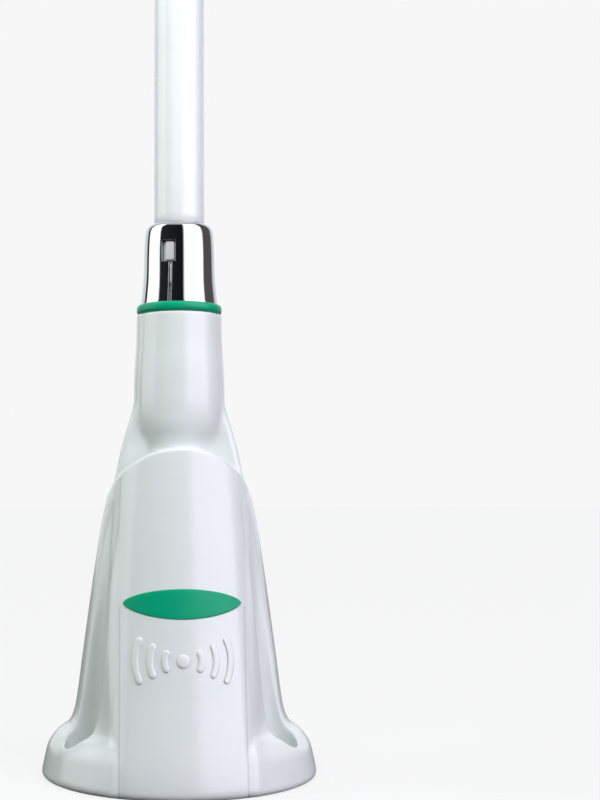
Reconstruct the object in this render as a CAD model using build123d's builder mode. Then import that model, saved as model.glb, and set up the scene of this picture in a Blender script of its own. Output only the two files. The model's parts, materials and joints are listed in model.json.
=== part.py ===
from build123d import *

import os
from math import atan2, cos, degrees, radians, sin, sqrt

os.makedirs("parts", exist_ok=True)

# Marine whip antenna. Millimetres, +Z up the whip, origin in the middle of the base's
# underside, and the badge on the base faces -Y.

# ---------------------------------------------------------------- overall sizes
total_height = 1800.0
flange_radius = 40.0
whip_radius = 7.3  # radome at the ferrule
whip_tip_radius = 4.15  # radome under the tip cap
plug_radius = 4.8  # turned plug on the whip's foot

# ---------------------------------------------------------------- base levels
flange_edge_height = 8.8
cove_rise = 12.2
flank_rise = 58.0
crest_rise = 14.6
neck_foot_rise = 5.1
neck_root_rise = 9.5
neck_length = 24.5
ring_height = 2.8
ferrule_height = 23.5

cove_z = flange_edge_height + cove_rise
shoulder_z = cove_z + flank_rise
crest_z = shoulder_z + crest_rise  # top of the shield's arch
neck_foot_z = crest_z + neck_foot_rise  # lower front edge of the neck
neck_root_z = neck_foot_z + neck_root_rise
neck_top_z = neck_root_z + neck_length
ring_top_z = neck_top_z + ring_height  # the ferrule rests here
ferrule_top_z = ring_top_z + ferrule_height

# ---------------------------------------------------------------- fits
running_fit = 0.08  # radial, pieces that slide
static_fit = 0.05  # radial, pieces that are bonded or pressed
free_gap = 0.3  # pieces that must never rub

# ---------------------------------------------------------------- radii, inside out
plug_bore_radius = plug_radius + running_fit
collar_wall = 3.72
collar_radius = plug_bore_radius + collar_wall
ferrule_bore_radius = collar_radius + free_gap
ferrule_wall = 1.4
ferrule_waist_radius = ferrule_bore_radius + ferrule_wall
ferrule_foot_radius = ferrule_waist_radius + 0.9
neck_top_radius = ferrule_foot_radius + 0.85
ring_radius = neck_top_radius + 0.3
neck_radius = neck_top_radius + 1.05
recess_radius = neck_radius - 1.3  # shadow gap between the neck and the shield

flange_top_radius = 0.95 * flange_radius
bell_foot_radius = 0.7375 * flange_radius
shoulder_radius = 0.5325 * flange_radius
crest_radius = 0.425 * flange_radius

# ---------------------------------------------------------------- mounting screws
screw_count = 3
screw_circle_radius = 0.7875 * flange_radius
screw_hole_radius = 2.6
screw_pad_z = 8.0  # thickness under each screw head
pocket_radius = 5.3
channel_lean = 3.2  # degrees, the screwdriver channel leans with the flank
first_screw_angle = 90.0  # the odd screw is at the back

# ---------------------------------------------------------------- shield
shield_half_width = 0.4375 * flange_radius  # where its rolled edge starts
shield_side_half = 0.5 * flange_radius
arch_half_width = 0.525 * flange_radius
arch_rise = 20.0
arch_foot_z = crest_z - arch_rise
shield_back = 4.0  # the rear half of the bell starts this far in front of the axis
shield_edge_run = 4.5  # depth of the rolled edge
shield_edge_lead = 1.5  # the edge's cut starts this far ahead of the skin
wing_y = 9.0  # the rolled edge ends here at the latest
front_reach = flange_radius + 2.0
shield_top_radius = crest_radius + 3.6

# ---------------------------------------------------------------- badge and emblem
badge_width = 32.0
badge_height = 8.2
badge_z = 51.2
badge_depth = 1.4
badge_sink = 0.25
badge_gap = 0.15
emblem_z = 36.0
emblem_relief = 0.5
emblem_line = 1.8
emblem_arc_radii = (5.0, 9.0, 13.0)
emblem_arc_half = 24.0  # degrees each side of level

# ---------------------------------------------------------------- underside
cover_recess_radius = 0.6875 * flange_radius
cover_recess_depth = 4.0
cover_thickness = 2.6
cover_screw_radius = 1.25
cover_screw_head_radius = 2.4
cover_screw_margin = 0.35  # head to the recess wall
cover_screw_circle = cover_recess_radius - cover_screw_head_radius - cover_screw_margin
pilot_wall = 1.5  # between a cover screw and the hollow
cavity_radius = cover_screw_circle - cover_screw_radius - pilot_wall
cover_screw_length = 8.0
cover_screw_head_height = 1.2
cable_hole_radius = 6.5
cable_bore_radius = 2.75
grommet_lip_radius = 8.4
grommet_lip_height = 1.4
driver_slot_width = 0.7
gasket_inner_radius = 0.915 * flange_radius
gasket_outer_radius = 0.96 * flange_radius
gasket_thickness = 1.2

# ---------------------------------------------------------------- collar, in the neck
collar_shoulder_radius = collar_radius + 1.8
collar_shoulder_height = 6.7
collar_stem_radius = collar_radius - 0.6
collar_top_z = ferrule_top_z - 5.5
collar_seat_z = neck_top_z - collar_shoulder_height
nut_seat_z = neck_foot_z + 5.3
nut_radius = collar_stem_radius + 1.2
nut_height = 3.0
washer_thickness = 0.7
lug_thickness = 0.5
nut_top_z = nut_seat_z - washer_thickness - lug_thickness
nut_bottom_z = nut_top_z - nut_height
collar_bottom_z = nut_bottom_z - 1.3
nut_slot_width = 2.0
neck_cavity_radius = nut_radius + 0.4
collar_chamfer = 0.6

# ---------------------------------------------------------------- contacts
sleeve_radius = plug_bore_radius + 1.1
sleeve_bottom_z = collar_bottom_z + 0.5
sleeve_top_z = sleeve_bottom_z + 25.0
insulator_height = 8.0
insulator_top_z = sleeve_bottom_z + insulator_height
barrel_radius = 1.65
barrel_bore_radius = 1.25
barrel_floor = 1.0
barrel_top_z = insulator_top_z + 0.6
barrel_bottom_z = sleeve_bottom_z - 2.5
lip_height = 0.6
shaft_radius = 0.8
piston_radius = barrel_bore_radius - 0.07
piston_height = 1.6
plunger_travel = 1.2
contact_z = barrel_top_z + 3.4  # where the plunger meets the whip
piston_top_z = barrel_top_z - lip_height - 0.6
spring_wire = 0.14
spring_turns = 6

# ---------------------------------------------------------------- latch
latch_angle = -109.6  # degrees about +Z from +X
tongue_width = 4.2
tongue_gap = 0.3
tongue_edge_drop = 0.3  # its flat front stays inside the round collar
nub_corner_radius = 0.6
nub_edge_radius = 0.35
window_corner_radius = 0.6
tongue_thickness = 1.3
pocket_depth = collar_radius - plug_bore_radius - 0.7
tongue_foot_z = ring_top_z + 3.0
tongue_top_z = collar_top_z - 0.4
nub_width = 2.85
nub_height = 5.4
nub_reach = 0.9  # how far the nub stands out of the collar
nub_z = collar_top_z - 3.45
window_width = 4.1
window_height = 6.1
slit_width = 1.9
slit_offset = 0.65
rib_width = 1.0
rib_reach = 1.3

# ---------------------------------------------------------------- whip foot
plug_foot_z = contact_z + 0.6
plug_flange_z = collar_top_z + 0.4
plug_flange_height = 1.5
plug_stem_radius = 5.55 / 7.3 * whip_radius
plug_stem_length = 35.0
plug_core_radius = 2.6
plug_chamfer = 0.5
bush_height = 1.1
dome_height = 4.5
tube_bottom_z = plug_flange_z + plug_flange_height
plug_stem_top_z = tube_bottom_z + plug_stem_length
pin_radius = 0.9
pin_head_radius = 1.5
pin_head_height = 1.2
whip_insulator_top_z = plug_flange_z - 4.0
oring_wire_radius = 0.68
ring_groove_depth = 2 * oring_wire_radius
ring_groove_width = 1.5
oring_z = sleeve_top_z + 4.0

# ---------------------------------------------------------------- whip
straight_foot = 12.0  # length of radome above the plug flange that doesn't taper
cap_height = 26.0
cap_radius = whip_tip_radius + 1.95
cap_socket = 15.0
cap_socket_radius = whip_tip_radius + 0.1
plug_seal_length = 18.0
tube_top_z = total_height - cap_height + cap_socket
tube_tip_bore = whip_tip_radius - 1.1
tube_foot_bore = plug_stem_radius + static_fit
whip_length = tube_top_z - plug_stem_top_z

feed_line_radius = 2.3
feed_point_z = plug_stem_top_z + 0.32 * whip_length
choke_radius = 4.3
choke_length = 12.0
choke_pitch = 15.0
choke_count = 3
choke_z = plug_stem_top_z + 15.0
sleeve_element_radius = 3.9
sleeve_element_wall = 0.5
sleeve_element_bottom_z = choke_z + choke_count * choke_pitch + 10.0
former_radius = 1.9
former_length = 48.0
former_bottom_z = feed_point_z + 4.0
former_top_z = former_bottom_z + former_length
coil_wire_radius = 0.4
coil_turns = 10
coil_margin = 4.0
rod_radius = 1.2
rod_top_z = tube_top_z - 85.0
spacer_length = 16.0
spacer_count = 5


def front_radius(z):
    """Radius of the shield's front skin: flush with the flange below, leaning in above."""
    share = min(z / crest_z, 1.0)
    drop = flange_radius - shield_top_radius
    return flange_radius - drop * (1.35 * share - 0.35 * share**2)


def radome_bore(z):
    """Inner radius of the tapered radome at height z."""
    share = (z - plug_stem_top_z) / whip_length
    return tube_foot_bore + (tube_tip_bore - tube_foot_bore) * share


def facing(angle):
    """Plane through the origin whose normal points outward at this angle, with Y upward."""
    a = radians(angle)
    return Plane(origin=(0, 0, 0), x_dir=(-sin(a), cos(a), 0), z_dir=(cos(a), sin(a), 0))


def vesica(width, height):
    """Lens outline: two arcs that meet in points at the left and right."""
    with BuildSketch() as lens:
        with BuildLine():
            ThreePointArc((-width / 2, 0), (0, height / 2), (width / 2, 0))
            ThreePointArc((width / 2, 0), (0, -height / 2), (-width / 2, 0))
        make_face()
    return lens.sketch


def front_skin(inward, outward, bottom, top):
    """Closed shell that follows the shield's front skin, from inward to outward of it."""
    levels = [bottom + (top - bottom) * n / 4 for n in range(5)]
    with BuildPart() as skin:
        with BuildSketch(Plane.XZ):
            with BuildLine():
                inner = Spline(*[(front_radius(z) - inward, z) for z in levels])
                outer = Spline(*[(front_radius(z) + outward, z) for z in levels])
                Line(inner @ 0, outer @ 0)
                Line(inner @ 1, outer @ 1)
            make_face()
        revolve(axis=Axis.Z)
    return skin.part


# ================================================================ badge and emblem
badge_bottom_z = badge_z - badge_height
badge_top_z = badge_z + badge_height

with BuildPart() as badge_seat:
    add(front_skin(badge_sink + badge_depth, badge_depth, badge_bottom_z, badge_top_z))
    with BuildSketch(Plane.XZ.offset(shield_back)):
        with Locations((0, badge_z)):
            add(vesica(badge_width + 2 * badge_gap, badge_height + 2 * badge_gap))
    extrude(amount=flange_radius, mode=Mode.INTERSECT)

with BuildPart() as band_badge:
    add(front_skin(badge_sink + badge_depth, -badge_sink, badge_bottom_z, badge_top_z))
    with BuildSketch(Plane.XZ.offset(shield_back)):
        with Locations((0, badge_z)):
            add(vesica(badge_width, badge_height))
    extrude(amount=flange_radius, mode=Mode.INTERSECT)

band_badge.part.label = "band_badge"
export_step(band_badge.part, "parts/band_badge.step")

# Raised sign on the shield: a dot between pairs of arcs, like waves leaving a mast.
with BuildPart() as emblem:
    add(front_skin(badge_depth, emblem_relief, emblem_z - 8.0, emblem_z + 8.0))
    with BuildSketch(Plane.XZ.offset(shield_back)):
        with Locations((0, emblem_z)):
            Circle(emblem_line)
            for middle in emblem_arc_radii:
                for side in (0, 180):
                    with BuildLine():
                        CenterArc(
                            (0, emblem_z), middle, side - emblem_arc_half, 2 * emblem_arc_half
                        )
                    trace(line_width=emblem_line)
    extrude(amount=flange_radius, mode=Mode.INTERSECT)

# ================================================================ base housing
# The shield is a raised tongue on the bell's front: a skin that is curved in plan, edges that
# roll back to the side walls, and an arch on top.
with BuildPart() as shield:
    for level in (0.0, 0.33 * crest_z, 0.66 * crest_z, crest_z):
        edge_y = sqrt(front_radius(level) ** 2 - shield_half_width**2)
        edge_end_y = max(edge_y - shield_edge_run, wing_y)
        edge_slope = (shield_side_half - shield_half_width) / (edge_y - edge_end_y)
        nose = shield_half_width - edge_slope * shield_edge_lead
        with BuildSketch(Plane.XY.offset(level)):
            with BuildLine():
                Polyline(
                    (-nose, -front_reach),
                    (nose, -front_reach),
                    (nose, -edge_y - shield_edge_lead),
                    (shield_side_half, -edge_end_y),
                    (shield_side_half, -shield_back),
                    (-shield_side_half, -shield_back),
                    (-shield_side_half, -edge_end_y),
                    (-nose, -edge_y - shield_edge_lead),
                    close=True,
                )
            make_face()
    loft()
    with BuildSketch(Plane.XZ):
        with BuildLine():
            skin = Spline(*[(front_radius(crest_z * n / 8), crest_z * n / 8) for n in range(9)])
            Polyline(skin @ 1, (0, crest_z), (0, 0), skin @ 0)
        make_face()
    revolve(axis=Axis.Z, mode=Mode.INTERSECT)
    with BuildSketch(Plane.XZ):
        with BuildLine():
            EllipticalCenterArc(
                (0, arch_foot_z), arch_half_width, arch_rise, start_angle=0, arc_size=180
            )
            Polyline(
                (-arch_half_width, arch_foot_z),
                (-flange_radius, 0),
                (flange_radius, 0),
                (arch_half_width, arch_foot_z),
            )
        make_face()
    extrude(amount=2 * flange_radius, mode=Mode.INTERSECT)

with BuildPart() as base_housing:
    # bell, flange and neck
    with BuildSketch(Plane.XZ):
        with BuildLine():
            Polyline(
                (0, neck_top_z), (0, 0), (flange_radius, 0), (flange_top_radius, flange_edge_height)
            )
            Spline(
                (flange_top_radius, flange_edge_height),
                (0.89 * flange_radius, flange_edge_height + 0.3 * cove_rise),
                (0.79 * flange_radius, flange_edge_height + 0.54 * cove_rise),
                (bell_foot_radius, cove_z),
                tangents=[(-0.4, 1), (-0.13, 1)],
            )
            Line((bell_foot_radius, cove_z), (shoulder_radius, shoulder_z))
            Spline(
                (shoulder_radius, shoulder_z),
                (crest_radius, crest_z),
                (neck_radius, neck_root_z),
                tangents=[(-0.14, 1), (0, 1)],
            )
            Polyline((neck_radius, neck_root_z), (neck_top_radius, neck_top_z), (0, neck_top_z))
        make_face()
    revolve(axis=Axis.Z)
    # the front of the bell above the arch is cut away, and the neck comes down in its place
    with BuildSketch(Plane.XY.offset(arch_foot_z)):
        with Locations((0, -shield_back - flange_radius)):
            Rectangle(2 * flange_radius, 2 * flange_radius)
    extrude(amount=neck_root_z - arch_foot_z, mode=Mode.SUBTRACT)
    add(shield.part)
    with BuildSketch(Plane.XY.offset(arch_foot_z + arch_rise / 2)):
        Circle(recess_radius)
    extrude(amount=neck_foot_z - arch_foot_z - arch_rise / 2)
    with BuildSketch(Plane.XY.offset(neck_foot_z)):
        Circle(neck_radius)
    extrude(amount=neck_root_z - neck_foot_z)
    # screw pockets with their screwdriver channels
    with PolarLocations(0, screw_count, start_angle=first_screw_angle):
        with Locations((screw_circle_radius, 0, screw_pad_z)):
            Cylinder(
                pocket_radius,
                crest_z,
                rotation=(0, -channel_lean, 0),
                align=(Align.CENTER, Align.CENTER, Align.MIN),
                mode=Mode.SUBTRACT,
            )
    with BuildSketch():
        with PolarLocations(screw_circle_radius, screw_count, start_angle=first_screw_angle):
            Circle(screw_hole_radius)
    extrude(amount=screw_pad_z + 1.0, mode=Mode.SUBTRACT)
    # hollow, from the cover's recess up to the nut's seat
    with BuildSketch(Plane.XZ):
        with BuildLine():
            Polyline(
                (0, 0),
                (cover_recess_radius, 0),
                (cover_recess_radius, cover_recess_depth),
                (cavity_radius, cover_recess_depth),
                (cavity_radius, 0.38 * shoulder_z),
                (shoulder_radius - 5.6, shoulder_z),
                (neck_cavity_radius, crest_z - 1.5),
                (neck_cavity_radius, nut_seat_z),
                (collar_stem_radius + static_fit, nut_seat_z),
                (collar_stem_radius + static_fit, collar_seat_z),
                (collar_shoulder_radius + static_fit, collar_seat_z),
                (collar_shoulder_radius + static_fit, neck_top_z),
                (0, neck_top_z),
                close=True,
            )
        make_face()
    revolve(axis=Axis.Z, mode=Mode.SUBTRACT)
    # groove for the deck gasket
    with BuildSketch():
        Circle(gasket_outer_radius)
        Circle(gasket_inner_radius, mode=Mode.SUBTRACT)
    extrude(amount=gasket_thickness, mode=Mode.SUBTRACT)
    # pilot holes for the cover screws
    with BuildSketch(Plane.XY.offset(cover_recess_depth)):
        with PolarLocations(cover_screw_circle, screw_count, start_angle=-first_screw_angle):
            Circle(cover_screw_radius)
    extrude(amount=cover_screw_length, mode=Mode.SUBTRACT)
    add(badge_seat.part, mode=Mode.SUBTRACT)
    add(emblem.part)

base_housing.part.label = "base_housing"
export_step(base_housing.part, "parts/base_housing.step")

# ================================================================ underside
with BuildPart() as base_gasket:
    with BuildSketch():
        Circle(gasket_outer_radius)
        Circle(gasket_inner_radius, mode=Mode.SUBTRACT)
    extrude(amount=gasket_thickness)

base_gasket.part.label = "base_gasket"
export_step(base_gasket.part, "parts/base_gasket.step")

cover_bottom_z = cover_recess_depth - cover_thickness

with BuildPart() as bottom_cover:
    with BuildSketch(Plane.XY.offset(cover_bottom_z)):
        Circle(cover_recess_radius - free_gap)
        Circle(cable_hole_radius, mode=Mode.SUBTRACT)
        with PolarLocations(cover_screw_circle, screw_count, start_angle=-first_screw_angle):
            Circle(cover_screw_radius, mode=Mode.SUBTRACT)
    extrude(amount=cover_thickness)

bottom_cover.part.label = "bottom_cover"
export_step(bottom_cover.part, "parts/bottom_cover.step")

with BuildPart() as cover_screws:
    with PolarLocations(cover_screw_circle, screw_count, start_angle=-first_screw_angle):
        with Locations((0, 0, cover_bottom_z - cover_screw_head_height)):
            Cylinder(
                cover_screw_head_radius,
                cover_screw_head_height,
                align=(Align.CENTER, Align.CENTER, Align.MIN),
            )
            Cylinder(
                cover_screw_radius,
                cover_screw_head_height + cover_thickness + 0.75 * cover_screw_length,
                align=(Align.CENTER, Align.CENTER, Align.MIN),
            )
            Box(
                2 * cover_screw_radius,
                driver_slot_width,
                cover_screw_head_height,
                align=(Align.CENTER, Align.CENTER, Align.MIN),
                mode=Mode.SUBTRACT,
            )
            Box(
                driver_slot_width,
                2 * cover_screw_radius,
                cover_screw_head_height,
                align=(Align.CENTER, Align.CENTER, Align.MIN),
                mode=Mode.SUBTRACT,
            )

cover_screws.part.label = "cover_screws"
export_step(cover_screws.part, "parts/cover_screws.step")

# The grommet grips the cover's hole between two lips, and is the cable's way in.
with BuildPart() as cable_grommet:
    with BuildSketch(Plane.XZ):
        with BuildLine():
            Polyline(
                (cable_bore_radius, cover_bottom_z - grommet_lip_height),
                (grommet_lip_radius, cover_bottom_z - grommet_lip_height),
                (grommet_lip_radius, cover_bottom_z),
                (cable_hole_radius, cover_bottom_z),
                (cable_hole_radius, cover_recess_depth),
                (grommet_lip_radius - grommet_lip_height, cover_recess_depth),
                (cable_bore_radius + grommet_lip_height, cover_recess_depth + 2 * grommet_lip_height),
                (cable_bore_radius, cover_recess_depth + 2 * grommet_lip_height),
                close=True,
            )
        make_face()
    revolve(axis=Axis.Z)

cable_grommet.part.label = "cable_grommet"
export_step(cable_grommet.part, "parts/cable_grommet.step")

# ================================================================ collar and its fixings
latch_plane = facing(latch_angle)
pocket_floor_radius = collar_radius - pocket_depth

with BuildPart() as socket_collar:
    with BuildSketch(Plane.XZ):
        with BuildLine():
            Polyline(
                (sleeve_radius, collar_bottom_z),
                (collar_stem_radius, collar_bottom_z),
                (collar_stem_radius, collar_seat_z),
                (collar_shoulder_radius, collar_seat_z),
                (collar_shoulder_radius, neck_top_z),
                (collar_radius, neck_top_z),
                (collar_radius, collar_top_z - collar_chamfer),
                (collar_radius - collar_chamfer, collar_top_z),
                (plug_bore_radius, collar_top_z),
                (plug_bore_radius, sleeve_top_z),
                (sleeve_radius, sleeve_top_z),
                close=True,
            )
        make_face()
    revolve(axis=Axis.Z)
    # slot for the latch tongue, open at the top
    with BuildSketch(latch_plane.offset(pocket_floor_radius)):
        with Locations((0, (tongue_foot_z + collar_top_z) / 2)):
            Rectangle(tongue_width + 2 * tongue_gap, collar_top_z - tongue_foot_z)
    extrude(amount=pocket_depth + nub_reach, mode=Mode.SUBTRACT)

socket_collar.part.label = "socket_collar"
export_step(socket_collar.part, "parts/socket_collar.step")

with BuildPart() as ring_band:
    with BuildSketch(Plane.XY.offset(neck_top_z)):
        Circle(ring_radius)
        Circle(collar_radius + static_fit, mode=Mode.SUBTRACT)
    extrude(amount=ring_height)
    outer_edges = ring_band.edges().filter_by(GeomType.CIRCLE).group_by(SortBy.RADIUS)[-1]
    fillet(outer_edges, radius=0.3 * ring_height)

ring_band.part.label = "ring_band"
export_step(ring_band.part, "parts/ring_band.step")

with BuildPart() as lock_washer:
    with BuildSketch(Plane.XY.offset(nut_seat_z - washer_thickness)):
        Circle(nut_radius)
        Circle(collar_stem_radius + static_fit, mode=Mode.SUBTRACT)
    extrude(amount=washer_thickness)

lock_washer.part.label = "lock_washer"
export_step(lock_washer.part, "parts/lock_washer.step")

# Ring tag for the cable's braid, with its tail bent down beside the nut.
with BuildPart() as ground_lug:
    with BuildSketch(Plane.XY.offset(nut_top_z)):
        Circle(nut_radius)
        Circle(collar_stem_radius + static_fit, mode=Mode.SUBTRACT)
    extrude(amount=lug_thickness)

ground_lug.part.label = "ground_lug"
export_step(ground_lug.part, "parts/ground_lug.step")

with BuildPart() as collar_nut:
    with BuildSketch(Plane.XY.offset(nut_bottom_z)):
        Circle(nut_radius)
        Circle(collar_stem_radius + static_fit, mode=Mode.SUBTRACT)
        with PolarLocations(nut_radius, 4):
            Rectangle(nut_radius - collar_stem_radius, nut_slot_width, mode=Mode.SUBTRACT)
    extrude(amount=nut_height)

collar_nut.part.label = "collar_nut"
export_step(collar_nut.part, "parts/collar_nut.step")

# ================================================================ contacts in the collar
with BuildPart() as ground_sleeve:
    with BuildSketch(Plane.XY.offset(sleeve_bottom_z)):
        Circle(sleeve_radius - static_fit)
        Circle(plug_bore_radius, mode=Mode.SUBTRACT)
    extrude(amount=sleeve_top_z - sleeve_bottom_z)

ground_sleeve.part.label = "ground_sleeve"
export_step(ground_sleeve.part, "parts/ground_sleeve.step")

with BuildPart() as contact_insulator:
    with BuildSketch(Plane.XY.offset(sleeve_bottom_z)):
        Circle(plug_bore_radius - static_fit)
        Circle(barrel_radius + static_fit, mode=Mode.SUBTRACT)
    extrude(amount=insulator_height)

contact_insulator.part.label = "contact_insulator"
export_step(contact_insulator.part, "parts/contact_insulator.step")

with BuildPart() as contact_barrel:
    with BuildSketch(Plane.XZ):
        with BuildLine():
            Polyline(
                (0, barrel_bottom_z),
                (barrel_radius, barrel_bottom_z),
                (barrel_radius, barrel_top_z),
                (shaft_radius + running_fit, barrel_top_z),
                (shaft_radius + running_fit, barrel_top_z - lip_height),
                (barrel_bore_radius, barrel_top_z - lip_height),
                (barrel_bore_radius, barrel_bottom_z + barrel_floor),
                (0, barrel_bottom_z + barrel_floor),
                close=True,
            )
        make_face()
    revolve(axis=Axis.Z)

contact_barrel.part.label = "contact_barrel"
export_step(contact_barrel.part, "parts/contact_barrel.step")

# Round-nosed plunger on a piston that the barrel's lip keeps in.
with BuildPart() as contact_plunger:
    with BuildSketch(Plane.XZ):
        with BuildLine():
            Polyline(
                (0, contact_z),
                (0, piston_top_z - piston_height),
                (piston_radius, piston_top_z - piston_height),
                (piston_radius, piston_top_z),
                (shaft_radius, piston_top_z),
                (shaft_radius, contact_z - shaft_radius),
            )
            RadiusArc((shaft_radius, contact_z - shaft_radius), (0, contact_z), -shaft_radius)
        make_face()
    revolve(axis=Axis.Z)

contact_plunger.part.label = "contact_plunger"
export_step(contact_plunger.part, "parts/contact_plunger.step")

spring_bottom_z = barrel_bottom_z + barrel_floor
spring_top_z = piston_top_z - piston_height
spring_radius = barrel_bore_radius - spring_wire - 0.15

with BuildPart() as contact_spring:
    with BuildLine(Plane.XY.offset(spring_bottom_z + spring_wire)) as spring_path:
        Helix(
            pitch=(spring_top_z - spring_bottom_z - 2 * spring_wire) / spring_turns,
            height=spring_top_z - spring_bottom_z - 2 * spring_wire,
            radius=spring_radius,
        )
    with BuildSketch(Plane(origin=spring_path.line @ 0, z_dir=spring_path.line % 0)):
        Circle(spring_wire)
    sweep(path=spring_path.line, is_frenet=True)

contact_spring.part.label = "contact_spring"
export_step(contact_spring.part, "parts/contact_spring.step")

# ================================================================ latch tongue
# A springy nylon tongue. Its nub clicks into the ferrule's window, and the rib below it
# keys the ferrule's slit.
with BuildPart() as latch_tongue:
    with BuildSketch(latch_plane.offset(collar_radius - tongue_thickness)):
        with Locations((0, (tongue_foot_z + tongue_gap + tongue_top_z) / 2)):
            Rectangle(tongue_width, tongue_top_z - tongue_foot_z - tongue_gap)
    extrude(amount=tongue_thickness - tongue_edge_drop)
    with BuildSketch(latch_plane.offset(collar_radius - tongue_thickness / 2)):
        with Locations((0, nub_z)):
            RectangleRounded(nub_width, nub_height, nub_corner_radius)
    extrude(amount=tongue_thickness / 2 + nub_reach)
    nub_rim = latch_tongue.faces().sort_by(Axis((0, 0, 0), latch_plane.z_dir))[-1].edges()
    fillet(nub_rim, radius=nub_edge_radius)
    rib_bottom_z = tongue_foot_z + 2.0
    rib_top_z = nub_z - window_height / 2 - 0.8
    with BuildSketch(latch_plane.offset(collar_radius - tongue_thickness / 2)):
        with Locations((slit_offset, (rib_bottom_z + rib_top_z) / 2)):
            Rectangle(rib_width, rib_top_z - rib_bottom_z)
    extrude(amount=tongue_thickness / 2 + rib_reach)

latch_tongue.part.label = "latch_tongue"
export_step(latch_tongue.part, "parts/latch_tongue.step")

# ================================================================ whip foot
bush_bottom_z = tube_bottom_z + 0.1
bush_top_z = bush_bottom_z + bush_height
dome_z = ferrule_top_z - dome_height

with BuildPart() as ferrule:
    with BuildSketch(Plane.XZ):
        with BuildLine():
            Polyline(
                (whip_radius + static_fit, ferrule_top_z),
                (whip_radius + static_fit, bush_top_z),
                (ferrule_bore_radius, bush_top_z),
                (ferrule_bore_radius, ring_top_z),
                (ferrule_foot_radius, ring_top_z),
            )
            Spline(
                (ferrule_foot_radius, ring_top_z),
                (ferrule_waist_radius, dome_z - 8.5),
                (ferrule_waist_radius - 0.25, dome_z),
                tangents=[(-0.1, 1), (-0.05, 1)],
            )
            Spline(
                (ferrule_waist_radius - 0.25, dome_z),
                (ferrule_waist_radius - 0.9, ferrule_top_z - 1.5),
                (whip_radius + 0.6, ferrule_top_z),
                tangents=[(-0.25, 1), (-1, 0.15)],
            )
            Line((whip_radius + 0.6, ferrule_top_z), (whip_radius + static_fit, ferrule_top_z))
        make_face()
    revolve(axis=Axis.Z)
    with BuildSketch(latch_plane.offset(collar_radius - tongue_thickness)):
        with Locations((0, nub_z)):
            RectangleRounded(window_width, window_height, window_corner_radius)
        with Locations((slit_offset, (ring_top_z - 1.0 + nub_z) / 2)):
            Rectangle(slit_width, nub_z - ring_top_z + 1.0)
    extrude(amount=ferrule_foot_radius, mode=Mode.SUBTRACT)

ferrule.part.label = "ferrule"
export_step(ferrule.part, "parts/ferrule.step")

with BuildPart() as ferrule_bush:
    with BuildSketch(Plane.XY.offset(bush_bottom_z)):
        Circle(ferrule_bore_radius - static_fit)
        Circle(whip_radius + static_fit, mode=Mode.SUBTRACT)
    extrude(amount=bush_height)

ferrule_bush.part.label = "ferrule_bush"
export_step(ferrule_bush.part, "parts/ferrule_bush.step")

with BuildPart() as whip_plug:
    with BuildSketch(Plane.XZ):
        with BuildLine():
            Polyline(
                (plug_core_radius, plug_foot_z),
                (plug_radius - plug_chamfer, plug_foot_z),
                (plug_radius, plug_foot_z + plug_chamfer),
                (plug_radius, oring_z - ring_groove_width / 2),
                (plug_radius - ring_groove_depth, oring_z - ring_groove_width / 2),
                (plug_radius - ring_groove_depth, oring_z + ring_groove_width / 2),
                (plug_radius, oring_z + ring_groove_width / 2),
                (plug_radius, plug_flange_z),
                (ferrule_bore_radius - static_fit, plug_flange_z),
                (ferrule_bore_radius - static_fit, tube_bottom_z),
                (plug_stem_radius, tube_bottom_z),
                (plug_stem_radius, plug_stem_top_z),
                (plug_core_radius, plug_stem_top_z),
                close=True,
            )
        make_face()
    revolve(axis=Axis.Z)

whip_plug.part.label = "whip_plug"
export_step(whip_plug.part, "parts/whip_plug.step")

with BuildPart() as plug_oring:
    with BuildSketch(Plane.XZ):
        with Locations((plug_radius - oring_wire_radius + static_fit, oring_z)):
            Circle(oring_wire_radius)
    revolve(axis=Axis.Z)

plug_oring.part.label = "plug_oring"
export_step(plug_oring.part, "parts/plug_oring.step")

with BuildPart() as whip_insulator:
    with BuildSketch(Plane.XY.offset(contact_z + pin_head_height)):
        Circle(plug_core_radius - static_fit)
        Circle(pin_radius + static_fit, mode=Mode.SUBTRACT)
    extrude(amount=whip_insulator_top_z - contact_z - pin_head_height)

whip_insulator.part.label = "whip_insulator"
export_step(whip_insulator.part, "parts/whip_insulator.step")

with BuildPart() as whip_centre_pin:
    with BuildSketch(Plane.XY.offset(contact_z)):
        Circle(pin_head_radius)
    extrude(amount=pin_head_height)
    with BuildSketch(Plane.XY.offset(contact_z + pin_head_height)):
        Circle(pin_radius)
    extrude(amount=whip_insulator_top_z - contact_z - pin_head_height)

whip_centre_pin.part.label = "whip_centre_pin"
export_step(whip_centre_pin.part, "parts/whip_centre_pin.step")

# ================================================================ radome and what is in it
with BuildPart() as radome_tube:
    with BuildSketch(Plane.XZ):
        with BuildLine():
            Polyline(
                (tube_foot_bore, tube_bottom_z),
                (whip_radius, tube_bottom_z),
                (whip_radius, tube_bottom_z + straight_foot),
                (whip_tip_radius, tube_top_z),
                (tube_tip_bore, tube_top_z),
                (tube_foot_bore, plug_stem_top_z),
                close=True,
            )
        make_face()
    revolve(axis=Axis.Z)

radome_tube.part.label = "radome_tube"
export_step(radome_tube.part, "parts/radome_tube.step")

with BuildPart() as feed_line:
    with BuildSketch(Plane.XY.offset(whip_insulator_top_z)):
        Circle(feed_line_radius)
    extrude(amount=feed_point_z - whip_insulator_top_z)

feed_line.part.label = "feed_line"
export_step(feed_line.part, "parts/feed_line.step")

with BuildPart() as choke_beads:
    for number in range(choke_count):
        with BuildSketch(Plane.XY.offset(choke_z + number * choke_pitch)):
            Circle(choke_radius)
            Circle(feed_line_radius + static_fit, mode=Mode.SUBTRACT)
        extrude(amount=choke_length)

choke_beads.part.label = "choke_beads"
export_step(choke_beads.part, "parts/choke_beads.step")

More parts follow.
